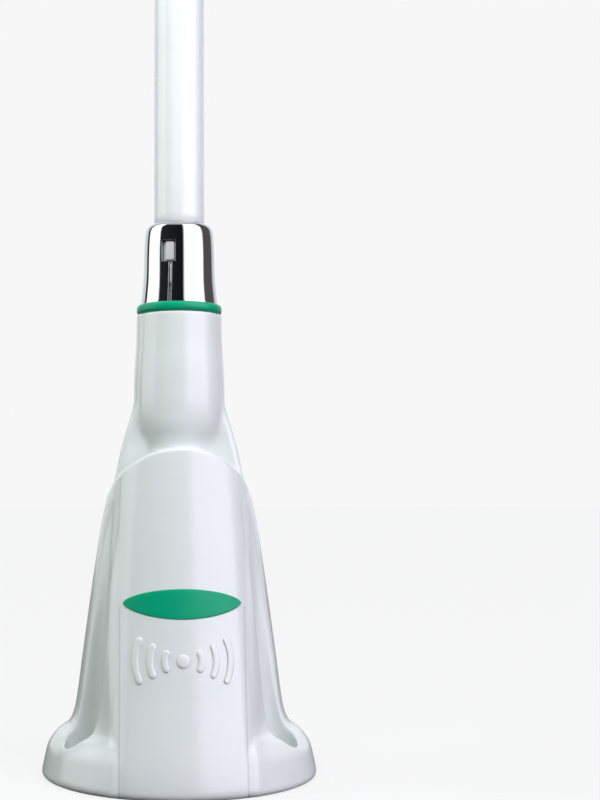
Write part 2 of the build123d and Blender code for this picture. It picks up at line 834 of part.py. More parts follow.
# Lower element: a brass sleeve over the feed line, closed at the feed point.
with BuildPart() as lower_element:
    with BuildSketch(Plane.XZ):
        with BuildLine():
            Polyline(
                (sleeve_element_radius - sleeve_element_wall, sleeve_element_bottom_z),
                (sleeve_element_radius, sleeve_element_bottom_z),
                (sleeve_element_radius, feed_point_z),
                (feed_line_radius + static_fit, feed_point_z),
                (feed_line_radius + static_fit, feed_point_z - choke_length / 2),
                (sleeve_element_radius - sleeve_element_wall, feed_point_z - choke_length / 2),
                close=True,
            )
        make_face()
    revolve(axis=Axis.Z)

lower_element.part.label = "lower_element"
export_step(lower_element.part, "parts/lower_element.step")

with BuildPart() as coil_former:
    with BuildSketch(Plane.XY.offset(feed_point_z)):
        Circle(former_radius)
    extrude(amount=former_top_z - feed_point_z)

coil_former.part.label = "coil_former"
export_step(coil_former.part, "parts/coil_former.step")

coil_height = former_length - 2 * coil_margin

with BuildPart() as matching_coil:
    with BuildLine(Plane.XY.offset(former_bottom_z + coil_margin)) as coil_path:
        Helix(
            pitch=coil_height / coil_turns,
            height=coil_height,
            radius=former_radius + coil_wire_radius + static_fit,
        )
    with BuildSketch(Plane(origin=coil_path.line @ 0, z_dir=coil_path.line % 0)):
        Circle(coil_wire_radius)
    sweep(path=coil_path.line, is_frenet=True)

matching_coil.part.label = "matching_coil"
export_step(matching_coil.part, "parts/matching_coil.step")

with BuildPart() as upper_element:
    with BuildSketch(Plane.XY.offset(former_top_z)):
        Circle(rod_radius)
    extrude(amount=rod_top_z - former_top_z)

upper_element.part.label = "upper_element"
export_step(upper_element.part, "parts/upper_element.step")

# Foam rings that stop the upper element from rattling.
with BuildPart() as foam_spacers:
    for number in range(spacer_count):
        share = (number + 0.5) / spacer_count
        spacer_z = former_top_z + share * (rod_top_z - former_top_z) - spacer_length / 2
        with BuildSketch(Plane.XY.offset(spacer_z)):
            Circle(radome_bore(spacer_z + spacer_length) - static_fit)
            Circle(rod_radius + static_fit, mode=Mode.SUBTRACT)
        extrude(amount=spacer_length)

foam_spacers.part.label = "foam_spacers"
export_step(foam_spacers.part, "parts/foam_spacers.step")

with BuildPart() as tip_plug:
    with BuildSketch(Plane.XY.offset(tube_top_z - plug_seal_length)):
        Circle(tube_tip_bore - static_fit)
    extrude(amount=plug_seal_length)

tip_plug.part.label = "tip_plug"
export_step(tip_plug.part, "parts/tip_plug.step")

with BuildPart() as tip_cap:
    with BuildSketch(Plane.XZ):
        with BuildLine():
            Polyline(
                (0, tube_top_z),
                (cap_socket_radius, tube_top_z),
                (cap_socket_radius, total_height - cap_height),
                (cap_radius - 0.2, total_height - cap_height),
                (cap_radius, total_height - cap_height + 1.0),
                (cap_radius, total_height - cap_radius),
            )
            RadiusArc((cap_radius, total_height - cap_radius), (0, total_height), -cap_radius)
            Line((0, total_height), (0, tube_top_z))
        make_face()
    revolve(axis=Axis.Z)

tip_cap.part.label = "tip_cap"
export_step(tip_cap.part, "parts/tip_cap.step")
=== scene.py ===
"""Marine whip antenna on a moulded deck base, with its quick-release ferrule.

Laid out as an add-on: one operator makes each piece, and main() calls them in order.
Lengths in this file are millimetres up to the moment that a mesh is made.
"""

import json

import bpy
import numpy as np
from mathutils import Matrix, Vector


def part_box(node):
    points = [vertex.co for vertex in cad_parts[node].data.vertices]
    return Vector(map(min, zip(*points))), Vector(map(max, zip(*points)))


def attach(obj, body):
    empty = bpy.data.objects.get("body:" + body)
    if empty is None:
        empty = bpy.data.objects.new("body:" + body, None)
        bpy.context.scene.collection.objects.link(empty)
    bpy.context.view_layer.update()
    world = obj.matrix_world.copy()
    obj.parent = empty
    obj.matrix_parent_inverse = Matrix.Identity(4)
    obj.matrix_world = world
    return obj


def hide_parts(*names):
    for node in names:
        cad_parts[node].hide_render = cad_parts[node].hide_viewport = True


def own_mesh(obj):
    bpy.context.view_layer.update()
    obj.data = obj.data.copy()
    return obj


bl_info = {
    "name": "Marine whip antenna",
    "version": (1, 0, 0),
    "blender": (4, 5, 0),
    "location": "View3D > Sidebar > Antenna",
    "description": "Deck base, quick-release ferrule and fibreglass whip of a marine antenna",
    "category": "Add Mesh",
}

MM = 0.001
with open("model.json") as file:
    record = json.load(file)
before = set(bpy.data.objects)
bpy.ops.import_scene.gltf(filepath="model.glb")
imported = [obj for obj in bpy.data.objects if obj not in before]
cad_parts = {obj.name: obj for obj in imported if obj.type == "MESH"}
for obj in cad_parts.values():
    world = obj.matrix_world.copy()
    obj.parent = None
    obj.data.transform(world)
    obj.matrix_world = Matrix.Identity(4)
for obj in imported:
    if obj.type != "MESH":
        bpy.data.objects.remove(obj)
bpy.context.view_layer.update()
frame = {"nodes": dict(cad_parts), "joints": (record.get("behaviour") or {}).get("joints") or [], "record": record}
NODES = frame["nodes"]


def node_box(name):
    """Lowest and highest corner of a CAD node, in millimetres."""
    low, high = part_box(name)
    return np.array(low) / MM, np.array(high) / MM


# Sizes that the frame gives
HOUSING_HIGH = node_box("base_housing")[1]
FLANGE_R = HOUSING_HIGH[0]
NECK_TOP = HOUSING_HIGH[2]
RING_LOW, RING_HIGH = node_box("ring_band")
FERRULE_LOW, FERRULE_HIGH = node_box("ferrule")
TUBE_LOW, TUBE_HIGH = node_box("radome_tube")
CAP_LOW, CAP_HIGH = node_box("tip_cap")
BADGE_LOW, BADGE_HIGH = node_box("band_badge")
TONGUE_LOW, TONGUE_HIGH = node_box("latch_tongue")
COVER_HIGH = node_box("bottom_cover")[1]
SPRING_LOW, SPRING_HIGH = node_box("contact_spring")

# Where the mounting screws and the latch stand
SCREW_MOUNT = next(m for m in frame["record"]["mounts"] if m["name"] == "base_screws")
SCREW_CIRCLE = SCREW_MOUNT["dims"]["pcd_mm"] / 2
SCREW_HOLE = SCREW_MOUNT["dims"]["hole_r_mm"]
LATCH_JOINT = next(j for j in frame["joints"] if j["name"] == "latch_press")
LATCH_ANGLE = np.arctan2(LATCH_JOINT["pos_m"][1], LATCH_JOINT["pos_m"][0])


# ---------------------------------------------------------------- meshes
def outward(verts, faces):
    """Turns all the faces over if the shell's signed volume is negative."""
    v = verts[faces[:, [0, 1, 2, 0, 2, 3]]] if faces.shape[1] == 4 else verts[faces]
    v = v.reshape(-1, 3, 3)
    volume = np.einsum("ij,ij->", v[:, 0], np.cross(v[:, 1], v[:, 2]))
    return faces[:, ::-1] if volume < 0 else faces


def make_object(name, verts, faces, material, body, replaces=()):
    """One object from an array of points in millimetres and an array of faces."""
    mesh = bpy.data.meshes.new(name)
    mesh.from_pydata((np.asarray(verts) * MM).tolist(), [], [f.tolist() for f in faces])
    mesh.polygons.foreach_set("use_smooth", np.full(len(mesh.polygons), True))
    mesh.update()
    piece = bpy.data.objects.new(name, mesh)
    bpy.context.scene.collection.objects.link(piece)
    mesh.materials.append(material)
    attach(piece, body)
    if replaces:
        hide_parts(*replaces)
    return piece


def material_slot(node):
    """The record's material slot of a CAD node."""
    return next(s["material_slot"] for s in frame["record"]["subparts"] if s["node"] == node)


def grid_faces(rows, columns, wrap_rows=False):
    """Quads between neighbours of a grid of points that is stored row by row. Each row is a loop."""
    i = np.arange(rows if wrap_rows else rows - 1)
    i, j = np.meshgrid(i, np.arange(columns), indexing="ij")
    down, right = (i + 1) % rows, (j + 1) % columns
    quads = [i * columns + j, i * columns + right, down * columns + right, down * columns + j]
    return np.stack(quads, -1).reshape(-1, 4)


def rounded(corners, radius, steps=5):
    """A closed outline whose corners are arcs of this radius, or less where a side is short.

    Each arc is a quadratic curve from one tangent point to the other, by way of the corner.
    """
    corner = np.asarray(corners, float)
    to_last = np.roll(corner, 1, 0) - corner
    to_next = np.roll(corner, -1, 0) - corner
    far_last = np.linalg.norm(to_last, axis=1, keepdims=True)
    far_next = np.linalg.norm(to_next, axis=1, keepdims=True)
    reach = np.minimum(radius, 0.45 * np.minimum(far_last, far_next))
    first = corner + to_last / far_last * reach
    last = corner + to_next / far_next * reach
    t = np.linspace(0, 1, steps)[None, :, None]
    arc = (1 - t) ** 2 * first[:, None] + 2 * t * (1 - t) * corner[:, None] + t**2 * last[:, None]
    return arc.reshape(-1, 2)


def carried_round(outline, columns):
    """A loop of points round the Z axis for each (radius, height) point of an outline."""
    turn = np.linspace(0, 2 * np.pi, columns, endpoint=False)
    r, z = outline[:, :1], outline[:, 1:]
    return np.stack([r * np.cos(turn), r * np.sin(turn), z + 0 * turn], -1)


def lathe(outline, columns=96):
    """A closed outline of (radius, height) points carried round the Z axis."""
    verts = carried_round(outline, columns).reshape(-1, 3)
    return verts, outward(verts, grid_faces(len(outline), columns, wrap_rows=True))


def closed_bar(points, ends):
    """A grid of loops, closed at both ends by a fan to one point."""
    rows, columns = points.shape[:2]
    verts = np.vstack([points.reshape(-1, 3), ends])
    around = np.arange(columns)
    after = (around + 1) % columns
    low, high = rows * columns, (rows - 1) * columns
    faces = list(grid_faces(rows, columns))
    faces += list(np.stack([np.full(columns, low), after, around], -1))
    faces += list(np.stack([np.full(columns, low + 1), high + around, high + after], -1))
    triangles = np.vstack([[f[0], f[k], f[k + 1]] for f in faces for k in range(1, len(f) - 1)])
    v = verts[triangles]
    if np.einsum("ij,ij->", v[:, 0], np.cross(v[:, 1], v[:, 2])) < 0:
        faces = [f[::-1] for f in faces]
    return verts, faces


def solid_of_revolution(outline, columns):
    """An open outline that starts and ends on the axis, carried round it, with one point at each pole."""
    poles = np.insert(outline[[0, -1]], 1, 0, axis=1)
    return closed_bar(carried_round(outline[1:-1], columns), poles)


def pillow(centre, half, squareness, axes, rows=40, columns=56):
    """A block with rounded edges: a sphere whose cosines and sines are raised to a small power.

    Half is its half size along each of the three axes, and squareness is that power.
    """
    up = np.linspace(-np.pi / 2, np.pi / 2, rows)[1:-1, None]
    turn = np.linspace(0, 2 * np.pi, columns, endpoint=False)[None, :]

    def power(value):
        return np.sign(value) * np.abs(value) ** squareness

    ring = half[0] * power(np.cos(turn)), half[1] * power(np.sin(turn))
    local = np.stack([power(np.cos(up)) * r for r in ring] + [half[2] * power(np.sin(up)) + 0 * turn], -1)
    poles = np.array([[0, 0, -half[2]], [0, 0, half[2]]])
    return closed_bar(centre + local @ axes, centre + poles @ axes)


def joined(shells):
    """Several shells as one: their points in a row, and each one's faces counted on."""
    all_verts, all_faces, count = [], [], 0
    for verts, faces in shells:
        all_verts.append(verts)
        all_faces += [f + count for f in faces]
        count += len(verts)
    return np.vstack(all_verts), all_faces


# ---------------------------------------------------------------- soft booleans
def soft_union(a, b, k):
    """Smaller of two distances, with a fillet about k wide where they meet."""
    h = np.clip(0.5 + 0.5 * (b - a) / k, 0, 1)
    return b + (a - b) * h - k * h * (1 - h)


def soft_common(a, b, k):
    """Larger of two distances, with an edge rounded about k wide where they meet."""
    return -soft_union(-a, -b, k)


def curve_through(points):
    """A function that runs smoothly through (position, value) points: cubic pieces whose slopes are
    the harmonic mean of the slopes on each side, so that it doesn't overshoot."""
    at, value = np.array(points, float).T
    step = np.diff(at)
    slope = np.diff(value) / step
    inner = np.where(
        slope[:-1] * slope[1:] > 0,
        2 * slope[:-1] * slope[1:] / np.where(slope[:-1] + slope[1:] == 0, 1, slope[:-1] + slope[1:]),
        0,
    )
    tangent = np.concatenate([slope[:1], inner, slope[-1:]])

    def curve(x):
        n = np.clip(np.searchsorted(at, x) - 1, 0, len(step) - 1)
        t = np.clip((x - at[n]) / step[n], 0, 1)
        h = step[n]
        return (
            value[n] * (1 + 2 * t) * (1 - t) ** 2
            + value[n + 1] * t**2 * (3 - 2 * t)
            + h * tangent[n] * t * (1 - t) ** 2
            - h * tangent[n + 1] * t**2 * (1 - t)
        )

    return curve


def skin_of(solid, turns, radii, heights):
    """The surface where solid(x, y, z) is zero, sampled on rings of a polar grid.

    One point stands in each cell that the surface crosses, at the mean of the places where it
    crosses the cell's edges. Each grid edge that it crosses gives a quad between the four cells
    round that edge. The points then slide along the solid's gradient until they lie on it.
    """
    t, r, z = np.meshgrid(turns, radii, heights, indexing="ij")
    value = solid(r * np.sin(t), -r * np.cos(t), z)
    inside = value < 0
    shape = (len(turns), len(radii) - 1, len(heights) - 1)
    total = np.zeros(shape + (3,))
    count = np.zeros(shape)
    corners = np.array([[a, b, c] for a in (0, 1) for b in (0, 1) for c in (0, 1)])

    def corner(array, at):
        array = np.roll(array, -at[0], 0)
        return array[:, at[1] : at[1] + shape[1], at[2] : at[2] + shape[2]]

    for axis in range(3):
        for start in corners[corners[:, axis] == 0]:
            end = start + np.eye(3, dtype=int)[axis]
            a, b = corner(value, start), corner(value, end)
            crossed = (a < 0) != (b < 0)
            share = np.where(crossed, a / np.where(crossed, a - b, 1), 0)
            total += (start + share[..., None] * np.eye(3)[axis]) * crossed[..., None]
            count += crossed
    busy = count > 0
    number = np.full(shape, -1)
    number[busy] = np.arange(busy.sum())
    cell = np.argwhere(busy) + total[busy] / count[busy][:, None]
    gap = np.append(turns, turns[0] + 2 * np.pi)
    turn = np.interp(cell[:, 0], np.arange(len(gap)), gap)
    radius = np.interp(cell[:, 1], np.arange(len(radii)), radii)
    height = np.interp(cell[:, 2], np.arange(len(heights)), heights)
    points = np.stack([radius * np.sin(turn), -radius * np.cos(turn), height], -1)

    quads = []
    for axis, (u, v) in ((0, (1, 2)), (1, (2, 0)), (2, (0, 1))):
        ahead = np.roll(inside, -1, axis)
        edge = np.argwhere(inside != ahead)
        for other in (1, 2):
            edge = edge[(edge[:, other] > 0) & (edge[:, other] < inside.shape[other] - 1)]
        if axis:
            edge = edge[edge[:, axis] < shape[axis]]
        ring = []
        for du, dv in ((-1, -1), (0, -1), (0, 0), (-1, 0)):
            at = edge.copy()
            at[:, u] += du
            at[:, v] += dv
            at[:, 0] %= shape[0]
            ring.append(number[tuple(at.T)])
        ring = np.stack(ring, -1)
        leaving = inside[tuple(edge.T)]
        quads.append(np.where(leaving[:, None], ring, ring[:, ::-1]))
    faces = np.vstack(quads)
    faces = faces[(faces >= 0).all(1)]

    small = 0.02
    for _ in range(4):
        here = solid(*points.T)
        slope = np.stack(
            [(solid(*(points + small * way).T) - here) / small for way in np.eye(3)], -1
        )
        move = here[:, None] * slope / np.maximum((slope**2).sum(1), 0.2)[:, None]
        far = np.linalg.norm(move, axis=1, keepdims=True)
        points -= move * np.minimum(1, 0.35 / np.maximum(far, 1e-9))
    return points, outward(points, faces)


# ---------------------------------------------------------------- settings
def millimetres(name, description, default, low, high):
    """A length in millimetres, with its lowest and highest value."""
    description += ", in millimetres"
    return bpy.props.FloatProperty(name=name, description=description, default=default, min=low, max=high)


def hex_colour(name, description, default):
    """A colour that is given as six sRGB hex digits."""
    description += ", as sRGB hex"
    return bpy.props.StringProperty(name=name, description=description, default=default)


class AntennaSizes(bpy.types.PropertyGroup):
    """Soft edges and small reliefs that the frame doesn't give."""

    edge_round: millimetres("Edge round", "Softness of the shield's top edge", 1.2, 0.1, 4)
    pocket_round: millimetres("Pocket round", "Softness of the screw pockets' rims", 0.7, 0.1, 3)
    pocket_radius: millimetres("Pocket radius", "Radius of the screwdriver channels", 5.3, 4, 8)
    shield_half: millimetres("Shield half width", "From the shield's middle to its side wall", 21.1, 10, 25)
    badge_relief: millimetres("Badge relief", "How far the badge stands out of the shield", 0.3, -0.5, 1)
    emblem_relief: millimetres("Emblem relief", "How far the emblem stands out of the shield", 0.5, 0.1, 1.5)
    emblem_line: millimetres("Emblem line", "Width of the emblem's lines", 1.8, 0.5, 3)
    emblem_height: millimetres("Emblem height", "Height of the emblem's middle above the deck", 36.0, 20, 45)


class AntennaColours(bpy.types.PropertyGroup):
    """Colours that an owner may order."""

    housing: hex_colour("Housing", "Moulded nylon of the base", "DFE3E0")
    green: hex_colour("Green", "Badge and ring", "009168")
    whip: hex_colour("Whip", "Gelcoat of the radome", "E6E8E8")


# ---------------------------------------------------------------- nodes and finishes
def linear(code, alpha=1.0):
    """sRGB hex to the linear colour that a shader takes."""
    value = np.array([int(code[n : n + 2], 16) for n in (0, 2, 4)]) / 255
    value = np.where(value <= 0.04045, value / 12.92, ((value + 0.055) / 1.055) ** 2.4)
    return (*value.tolist(), alpha)


def add_node(tree, kind, inputs=None, **settings):
    """A new shader node with its settings. An input that is given a socket is linked to it, and
    any other value is set on the input itself."""
    node = tree.nodes.new("ShaderNode" + kind)
    for name, value in settings.items():
        setattr(node, name, value)
    for name, value in (inputs or {}).items():
        if isinstance(value, bpy.types.NodeSocket):
            tree.links.new(value, node.inputs[name])
        else:
            node.inputs[name].default_value = value
    return node


def new_material(name):
    """An empty node tree with its shader and output, and the object's own coordinates."""
    material = bpy.data.materials.new(name)
    material.use_nodes = True
    tree = material.node_tree
    tree.nodes.clear()
    shader = add_node(tree, "BsdfPrincipled")
    add_node(tree, "OutputMaterial", {"Surface": shader.outputs[0]})
    place = add_node(tree, "TexCoord").outputs["Object"]
    return material, tree, shader, place


def dress(tree, shader, colour, roughness, relief, **shader_values):
    """Links a surface's nodes to its shader, and sets the shader's own values by their names."""
    tree.links.new(colour, shader.inputs["Base Color"])
    tree.links.new(roughness.outputs[0], shader.inputs["Roughness"])
    tree.links.new(relief.outputs[0], shader.inputs["Normal"])
    for key, value in shader_values.items():
        shader.inputs[key.replace("_", " ")].default_value = value


def finish(name, tints, roughness, grain_mm, depth_mm, pattern="noise", **shader_values):
    """A surface whose colour runs between two tints, and whose roughness and relief follow one grain.

    The grain is a noise, the cells of a foam, the rings that a lathe's tool leaves, or the
    long streaks of drawn metal.
    """
    material, tree, shader, place = new_material(name)
    per_metre = 1 / (grain_mm * MM)
    stretch = {"rings": (0.02, 0.02, 1), "streaks": (1, 1, 0.03)}.get(pattern, (1, 1, 1))
    mapped = add_node(tree, "Mapping", {"Vector": place, "Scale": stretch})
    if pattern == "cells":
        grain = add_node(
            tree, "TexVoronoi", {"Vector": mapped.outputs[0], "Scale": per_metre}
        ).outputs["Distance"]
    else:
        grain = add_node(
            tree,
            "TexNoise",
            {"Vector": mapped.outputs[0], "Scale": per_metre, "Detail": 3.0, "Roughness": 0.55},
        ).outputs["Fac"]
    cloud = add_node(
        tree, "TexNoise", {"Vector": place, "Scale": 0.12 * per_metre, "Detail": 2.0}
    ).outputs["Fac"]
    tint = add_node(tree, "Mix", {0: cloud, 6: linear(tints[0]), 7: linear(tints[1])}, data_type="RGBA")
    smooth, coarse = roughness
    span = {"From Min": 0.3, "From Max": 0.7, "To Min": smooth, "To Max": coarse}
    rough = add_node(tree, "MapRange", {"Value": grain, **span})
    relief = add_node(tree, "Bump", {"Height": grain, "Strength": 1.0, "Distance": depth_mm * MM})
    dress(tree, shader, tint.outputs[2], rough, relief, **shader_values)
    return material


# The slide that forms the shield's lower front: its half width, its top, and how far back it reaches
SLIDE_HALF_WIDTH = 17.2
SLIDE_TOP_Z = 50
SLIDE_BACK_Y = -20


def glossy_moulded_nylon(colour):
    """UV-stable nylon from a polished tool: wet-looking gloss over a faint waviness, and a fine parting line
    where the shield's slide met the rest of the tool: a sunk groove, with painted shade along it."""
    material, tree, shader, place = new_material("glossy_moulded_nylon")
    swirl = add_node(tree, "TexNoise", {"Vector": place, "Scale": 1 / (9 * MM), "Detail": 1.0}).outputs["Fac"]
    peel = add_node(
        tree, "TexNoise", {"Vector": place, "Scale": 1 / (1.2 * MM), "Detail": 2.0}
    ).outputs["Fac"]
    axes = add_node(tree, "SeparateXYZ", {"Vector": place})
    across = add_node(tree, "Math", {0: axes.outputs["X"]}, operation="ABSOLUTE")
    off_line = add_node(tree, "Math", {0: across.outputs[0], 1: SLIDE_HALF_WIDTH * MM}, operation="SUBTRACT")
    off_line = add_node(tree, "Math", {0: off_line.outputs[0]}, operation="ABSOLUTE")
    # Drawn 0.35 mm wide on each side, which is as fine as shows
    hairline_groove_and_shade = add_node(
        tree,
        "MapRange",
        {
            "Value": off_line.outputs[0],
            "From Min": 0.1 * MM,
            "From Max": 0.35 * MM,
            "To Min": 1.0,
            "To Max": 0.0,
        },
        interpolation_type="SMOOTHSTEP",
    ).outputs[0]
    for axis, limit in (("Y", SLIDE_BACK_Y), ("Z", SLIDE_TOP_Z)):
        within = add_node(tree, "Math", {0: axes.outputs[axis], 1: limit * MM}, operation="LESS_THAN")
        hairline_groove_and_shade = add_node(
            tree, "Math", {0: hairline_groove_and_shade, 1: within.outputs[0]}, operation="MULTIPLY"
        ).outputs[0]
    tint = add_node(tree, "Mix", {0: swirl, 6: linear(colour), 7: linear("D9DEDC")}, data_type="RGBA")
    # Painted shade: along the parting line the colour is tinted darker (C9CECF), as if shade lay in its groove
    shaded = add_node(tree, "Mix", {0: hairline_groove_and_shade, 6: tint.outputs[2], 7: linear("C9CECF")}, data_type="RGBA")
    rough = add_node(
        tree, "MapRange", {"Value": peel, "From Min": 0.3, "From Max": 0.7, "To Min": 0.17, "To Max": 0.2}
    )
    sunk = add_node(tree, "Bump", {"Height": hairline_groove_and_shade, "Strength": 0.5, "Distance": 0.08 * MM})
    sunk.invert = True
    waves = add_node(
        tree, "Bump", {"Height": swirl, "Strength": 1.0, "Distance": 0.03 * MM, "Normal": sunk.outputs[0]}
    )
    skin = add_node(
        tree, "Bump", {"Height": peel, "Strength": 1.0, "Distance": 0.0008 * MM, "Normal": waves.outputs[0]}
    )
    translucent = {"Subsurface_Weight": 0.12, "Subsurface_Radius": (1, 1, 1), "Subsurface_Scale": 0.9 * MM}
    dress(tree, shader, shaded.outputs[2], rough, skin, IOR=1.53, **translucent)
    return material


# ---------------------------------------------------------------- housing
# The shield's top, its reach there, and its arch: half an ellipse on sides that spread below it
CREST_Z = 93.6
SHIELD_TOP_R = 20.6
ARCH_FOOT_Z = 73.6
ARCH_RISE = 20
ARCH_HALF_WIDTH = 22.2
ARCH_SPREAD = 0.25
SHIELD_SIDE_ROUND = 7.0
SHIELD_BACK = 4
# The swelling near the shield's foot: how far it stands out, and at what height
SWELL, SWELL_Z = 0.9, 8
# The bell's front is cut off this far ahead of the axis, and slopes forward below a height
BELL_FRONT, BELL_FRONT_Z, BELL_FRONT_SLOPE = 4.5, 83, 1.6
NECK_FOOT_Z = 80
# Fillet between bell and shield. It leaves the shield's face alone, up to this far from the middle
FACE_HALF_WIDTH, FILLET_RUN = 16.5, 3.5
THIN_FILLET, WIDE_FILLET = 0.3, 4.0
NECK_FILLET = 1.4
FOOT_ROUND, LIP_ROUND = 2.2, 0.4
# Screw pockets: one behind and two beside the shield
POCKET_TURNS = np.radians((90, 210, 330))
POCKET_LEAN = np.tan(np.radians(3.2))
POCKET_FLOOR_Z = 8
# Hollow: heights and radii of its wall, then the plain bores as radius, bottom and top. They
# take the cover below, and the collar and its head, which are open at the top of the neck.
HOLLOW_Z = [4, 30, 76, 90, 97.6, 98.2, 104]
HOLLOW_R = [22, 22, 15, 7.6, 7.6, 9.6, 9.6]
BORES = [(COVER_HIGH[0] + 0.3, -9, 4), (8.05, 100, 200), (10.45, 126, 200)]
# Groove for the gasket in the flange's underside
GROOVE_R, GROOVE_HALF_WIDTH, GROOVE_DEPTH = 37.5, 0.95, 1.2
# A distance that is well outside everything
FAR = 50
BELL = curve_through(
    [(-2, 40.4), (0, 40), (6.5, 38.6), (8.8, 38), (12.3, 35.6), (15.3, 31.9), (18.1, 30.6), (21, 29.9)]
    + [(35.5, 27.9), (61.7, 24.2), (79.1, 21.2), (85, 18.9), (93.6, 17), (99.4, 15.4), (105.2, 13.6)]
    + [(108.2, 12.85), (117, 12.6), (124, 12.15), (132.7, 11.95), (135, 11.9)]
)
NECK = curve_through(
    [(80, 9.4), (88, 9.4), (93, 9.5), (95, 9.8), (97, 10.7), (99, 11.8), (101.5, 12.5)]
    + [(104.5, 12.75), (108, 12.85), (117, 12.6), (124, 12.15), (132.7, 11.95), (135, 11.9)]
)


def front_radius(z):
    """Radius of the shield's skin: flush with the flange below, leaning in above, a little bowed.

    A swelling near the foot carries it over the flange's shoulder.
    """
    share = np.clip(z / CREST_Z, 0, 1)
    rise = np.maximum(z, 0) / SWELL_Z
    swell = SWELL * rise * np.exp(1 - rise)
    return FLANGE_R - (FLANGE_R - SHIELD_TOP_R) * (1.35 * share - 0.35 * share**2) + swell


def turned(radius, z, profile):
    """Distance from a turned shape: how far outside its profile, times the cosine of its slope."""
    slope = (profile(z + 0.1) - profile(z - 0.1)) / 0.2
    return (radius - profile(z)) / np.sqrt(1 + slope**2)


def housing_solid(sizes):
    """The base as one distance function: a bell and a neck, a shield raised on the bell's front,
    three screwdriver channels that lean with its flank, and the hollow for the collar and cable."""

    def inside_of(radius, z, reach, low, high):
        return np.maximum(radius - reach, np.maximum(low - z, z - high))

    def solid(x, y, z):
        radius = np.hypot(x, y)
        bell = turned(radius, z, BELL)
        cut = -y - BELL_FRONT - BELL_FRONT_SLOPE * np.maximum(0, BELL_FRONT_Z - z)
        bell = soft_common(bell, cut, 1.5)
        walls = np.abs(x) - sizes.shield_half
        over = np.maximum(z - ARCH_FOOT_Z, 0) / ARCH_RISE
        arch = (np.hypot(x / ARCH_HALF_WIDTH, over) - 1) * ARCH_RISE
        sides = np.abs(x) - ARCH_HALF_WIDTH - ARCH_SPREAD * (ARCH_FOOT_Z - z)
        arch = np.where(z > ARCH_FOOT_Z, arch, sides)
        shield = turned(radius, z, front_radius)
        shield = soft_common(shield, walls, SHIELD_SIDE_ROUND)
        shield = soft_common(shield, arch, sizes.edge_round * 0.6)
        shield = np.maximum(shield, SHIELD_BACK + y)
        shield = np.maximum(shield, z - CREST_Z)
        neck = np.maximum(turned(radius, z, NECK), NECK_FOOT_Z - z)
        beside = np.clip((np.abs(x) - FACE_HALF_WIDTH) / FILLET_RUN, 0, 1)
        # The fillet thins to a fifth between 54 and 78 mm up
        down = np.clip((84 - z) / 30, 0.2, 1)
        fillet = THIN_FILLET + (WIDE_FILLET - THIN_FILLET) * beside**2 * (3 - 2 * beside) * down
        body = soft_union(bell, shield, fillet)
        body = soft_union(body, neck, NECK_FILLET)
        body = soft_common(body, -z, FOOT_ROUND)
        body = soft_common(body, z - NECK_TOP, LIP_ROUND)
        for turn in POCKET_TURNS:
            out = x * np.cos(turn) + y * np.sin(turn)
            along = y * np.cos(turn) - x * np.sin(turn)
            leant = out - SCREW_CIRCLE + (z - POCKET_FLOOR_Z) * POCKET_LEAN
            channel = np.where(out > 0, np.hypot(leant, along) - sizes.pocket_radius, FAR)
            # The rim is softer from 18 mm up, where the channel runs out along the flank
            rim = sizes.pocket_round + np.clip((z - 18) / 15, 0, 1)
            body = soft_common(body, -soft_common(channel, POCKET_FLOOR_Z - z, 0.6), rim)
            hole = np.where(out > 0, np.hypot(out - SCREW_CIRCLE, along) - SCREW_HOLE, FAR)
            body = np.maximum(body, -np.maximum(hole, z - POCKET_FLOOR_Z - 1))
        hollow = inside_of(radius, z, np.interp(z, HOLLOW_Z, HOLLOW_R), 3, 104)
        for bore in BORES:
            hollow = np.minimum(hollow, inside_of(radius, z, *bore))
        groove = np.maximum(np.abs(radius - GROOVE_R) - GROOVE_HALF_WIDTH, z - GROOVE_DEPTH)
        return np.maximum(body, -np.minimum(hollow, groove))

    return solid


class MakeHousing(bpy.types.Operator):
    """Makes the moulded base with its shield, neck and screw pockets"""

    bl_idname = "antenna.housing"
    bl_label = "Housing"

    def execute(self, context):
        front = np.radians(np.linspace(-80, 80, 140, endpoint=False))
        back = np.radians(np.linspace(80, 280, 57, endpoint=False))
        radii = np.arange(7.3, 41.4, 0.5)
        heights = np.concatenate(
            [
                np.arange(-0.75, 25, 0.52),
                np.arange(25.25, 80, 1.2),
                np.arange(80, 108, 0.6),
                np.arange(108.4, 131, 1.6),
                np.arange(131.2, 134, 0.5),
            ]
        )
        solid = housing_solid(context.scene.antenna_sizes)
        verts, faces = skin_of(solid, np.concatenate([front, back]), radii, heights)
        material = glossy_moulded_nylon(context.scene.antenna_colours.housing)
        make_object("housing_skin", verts, faces, material, "base", ["base_housing"])
        return {"FINISHED"}


# ---------------------------------------------------------------- badge and emblem
# The badge stands a little below the middle of its recess, and laps over the recess's ends
BADGE_Z = (BADGE_LOW[2] + BADGE_HIGH[2]) / 2 - 0.15
BADGE_HALF_WIDTH = BADGE_HIGH[0] + 0.25
BADGE_HALF_HEIGHT = (BADGE_HIGH[2] - BADGE_LOW[2]) / 2
BADGE_THICKNESS = 0.55
# A lower power gives the lens blunter tips
BADGE_TIP_POWER = 0.62


def on_shield(x, z, proud):
    """The point at (x, z) that stands this far out of the shield's skin."""
    radius = front_radius(z) + proud
    return np.stack([x, -np.sqrt(radius**2 - x**2), z], -1)


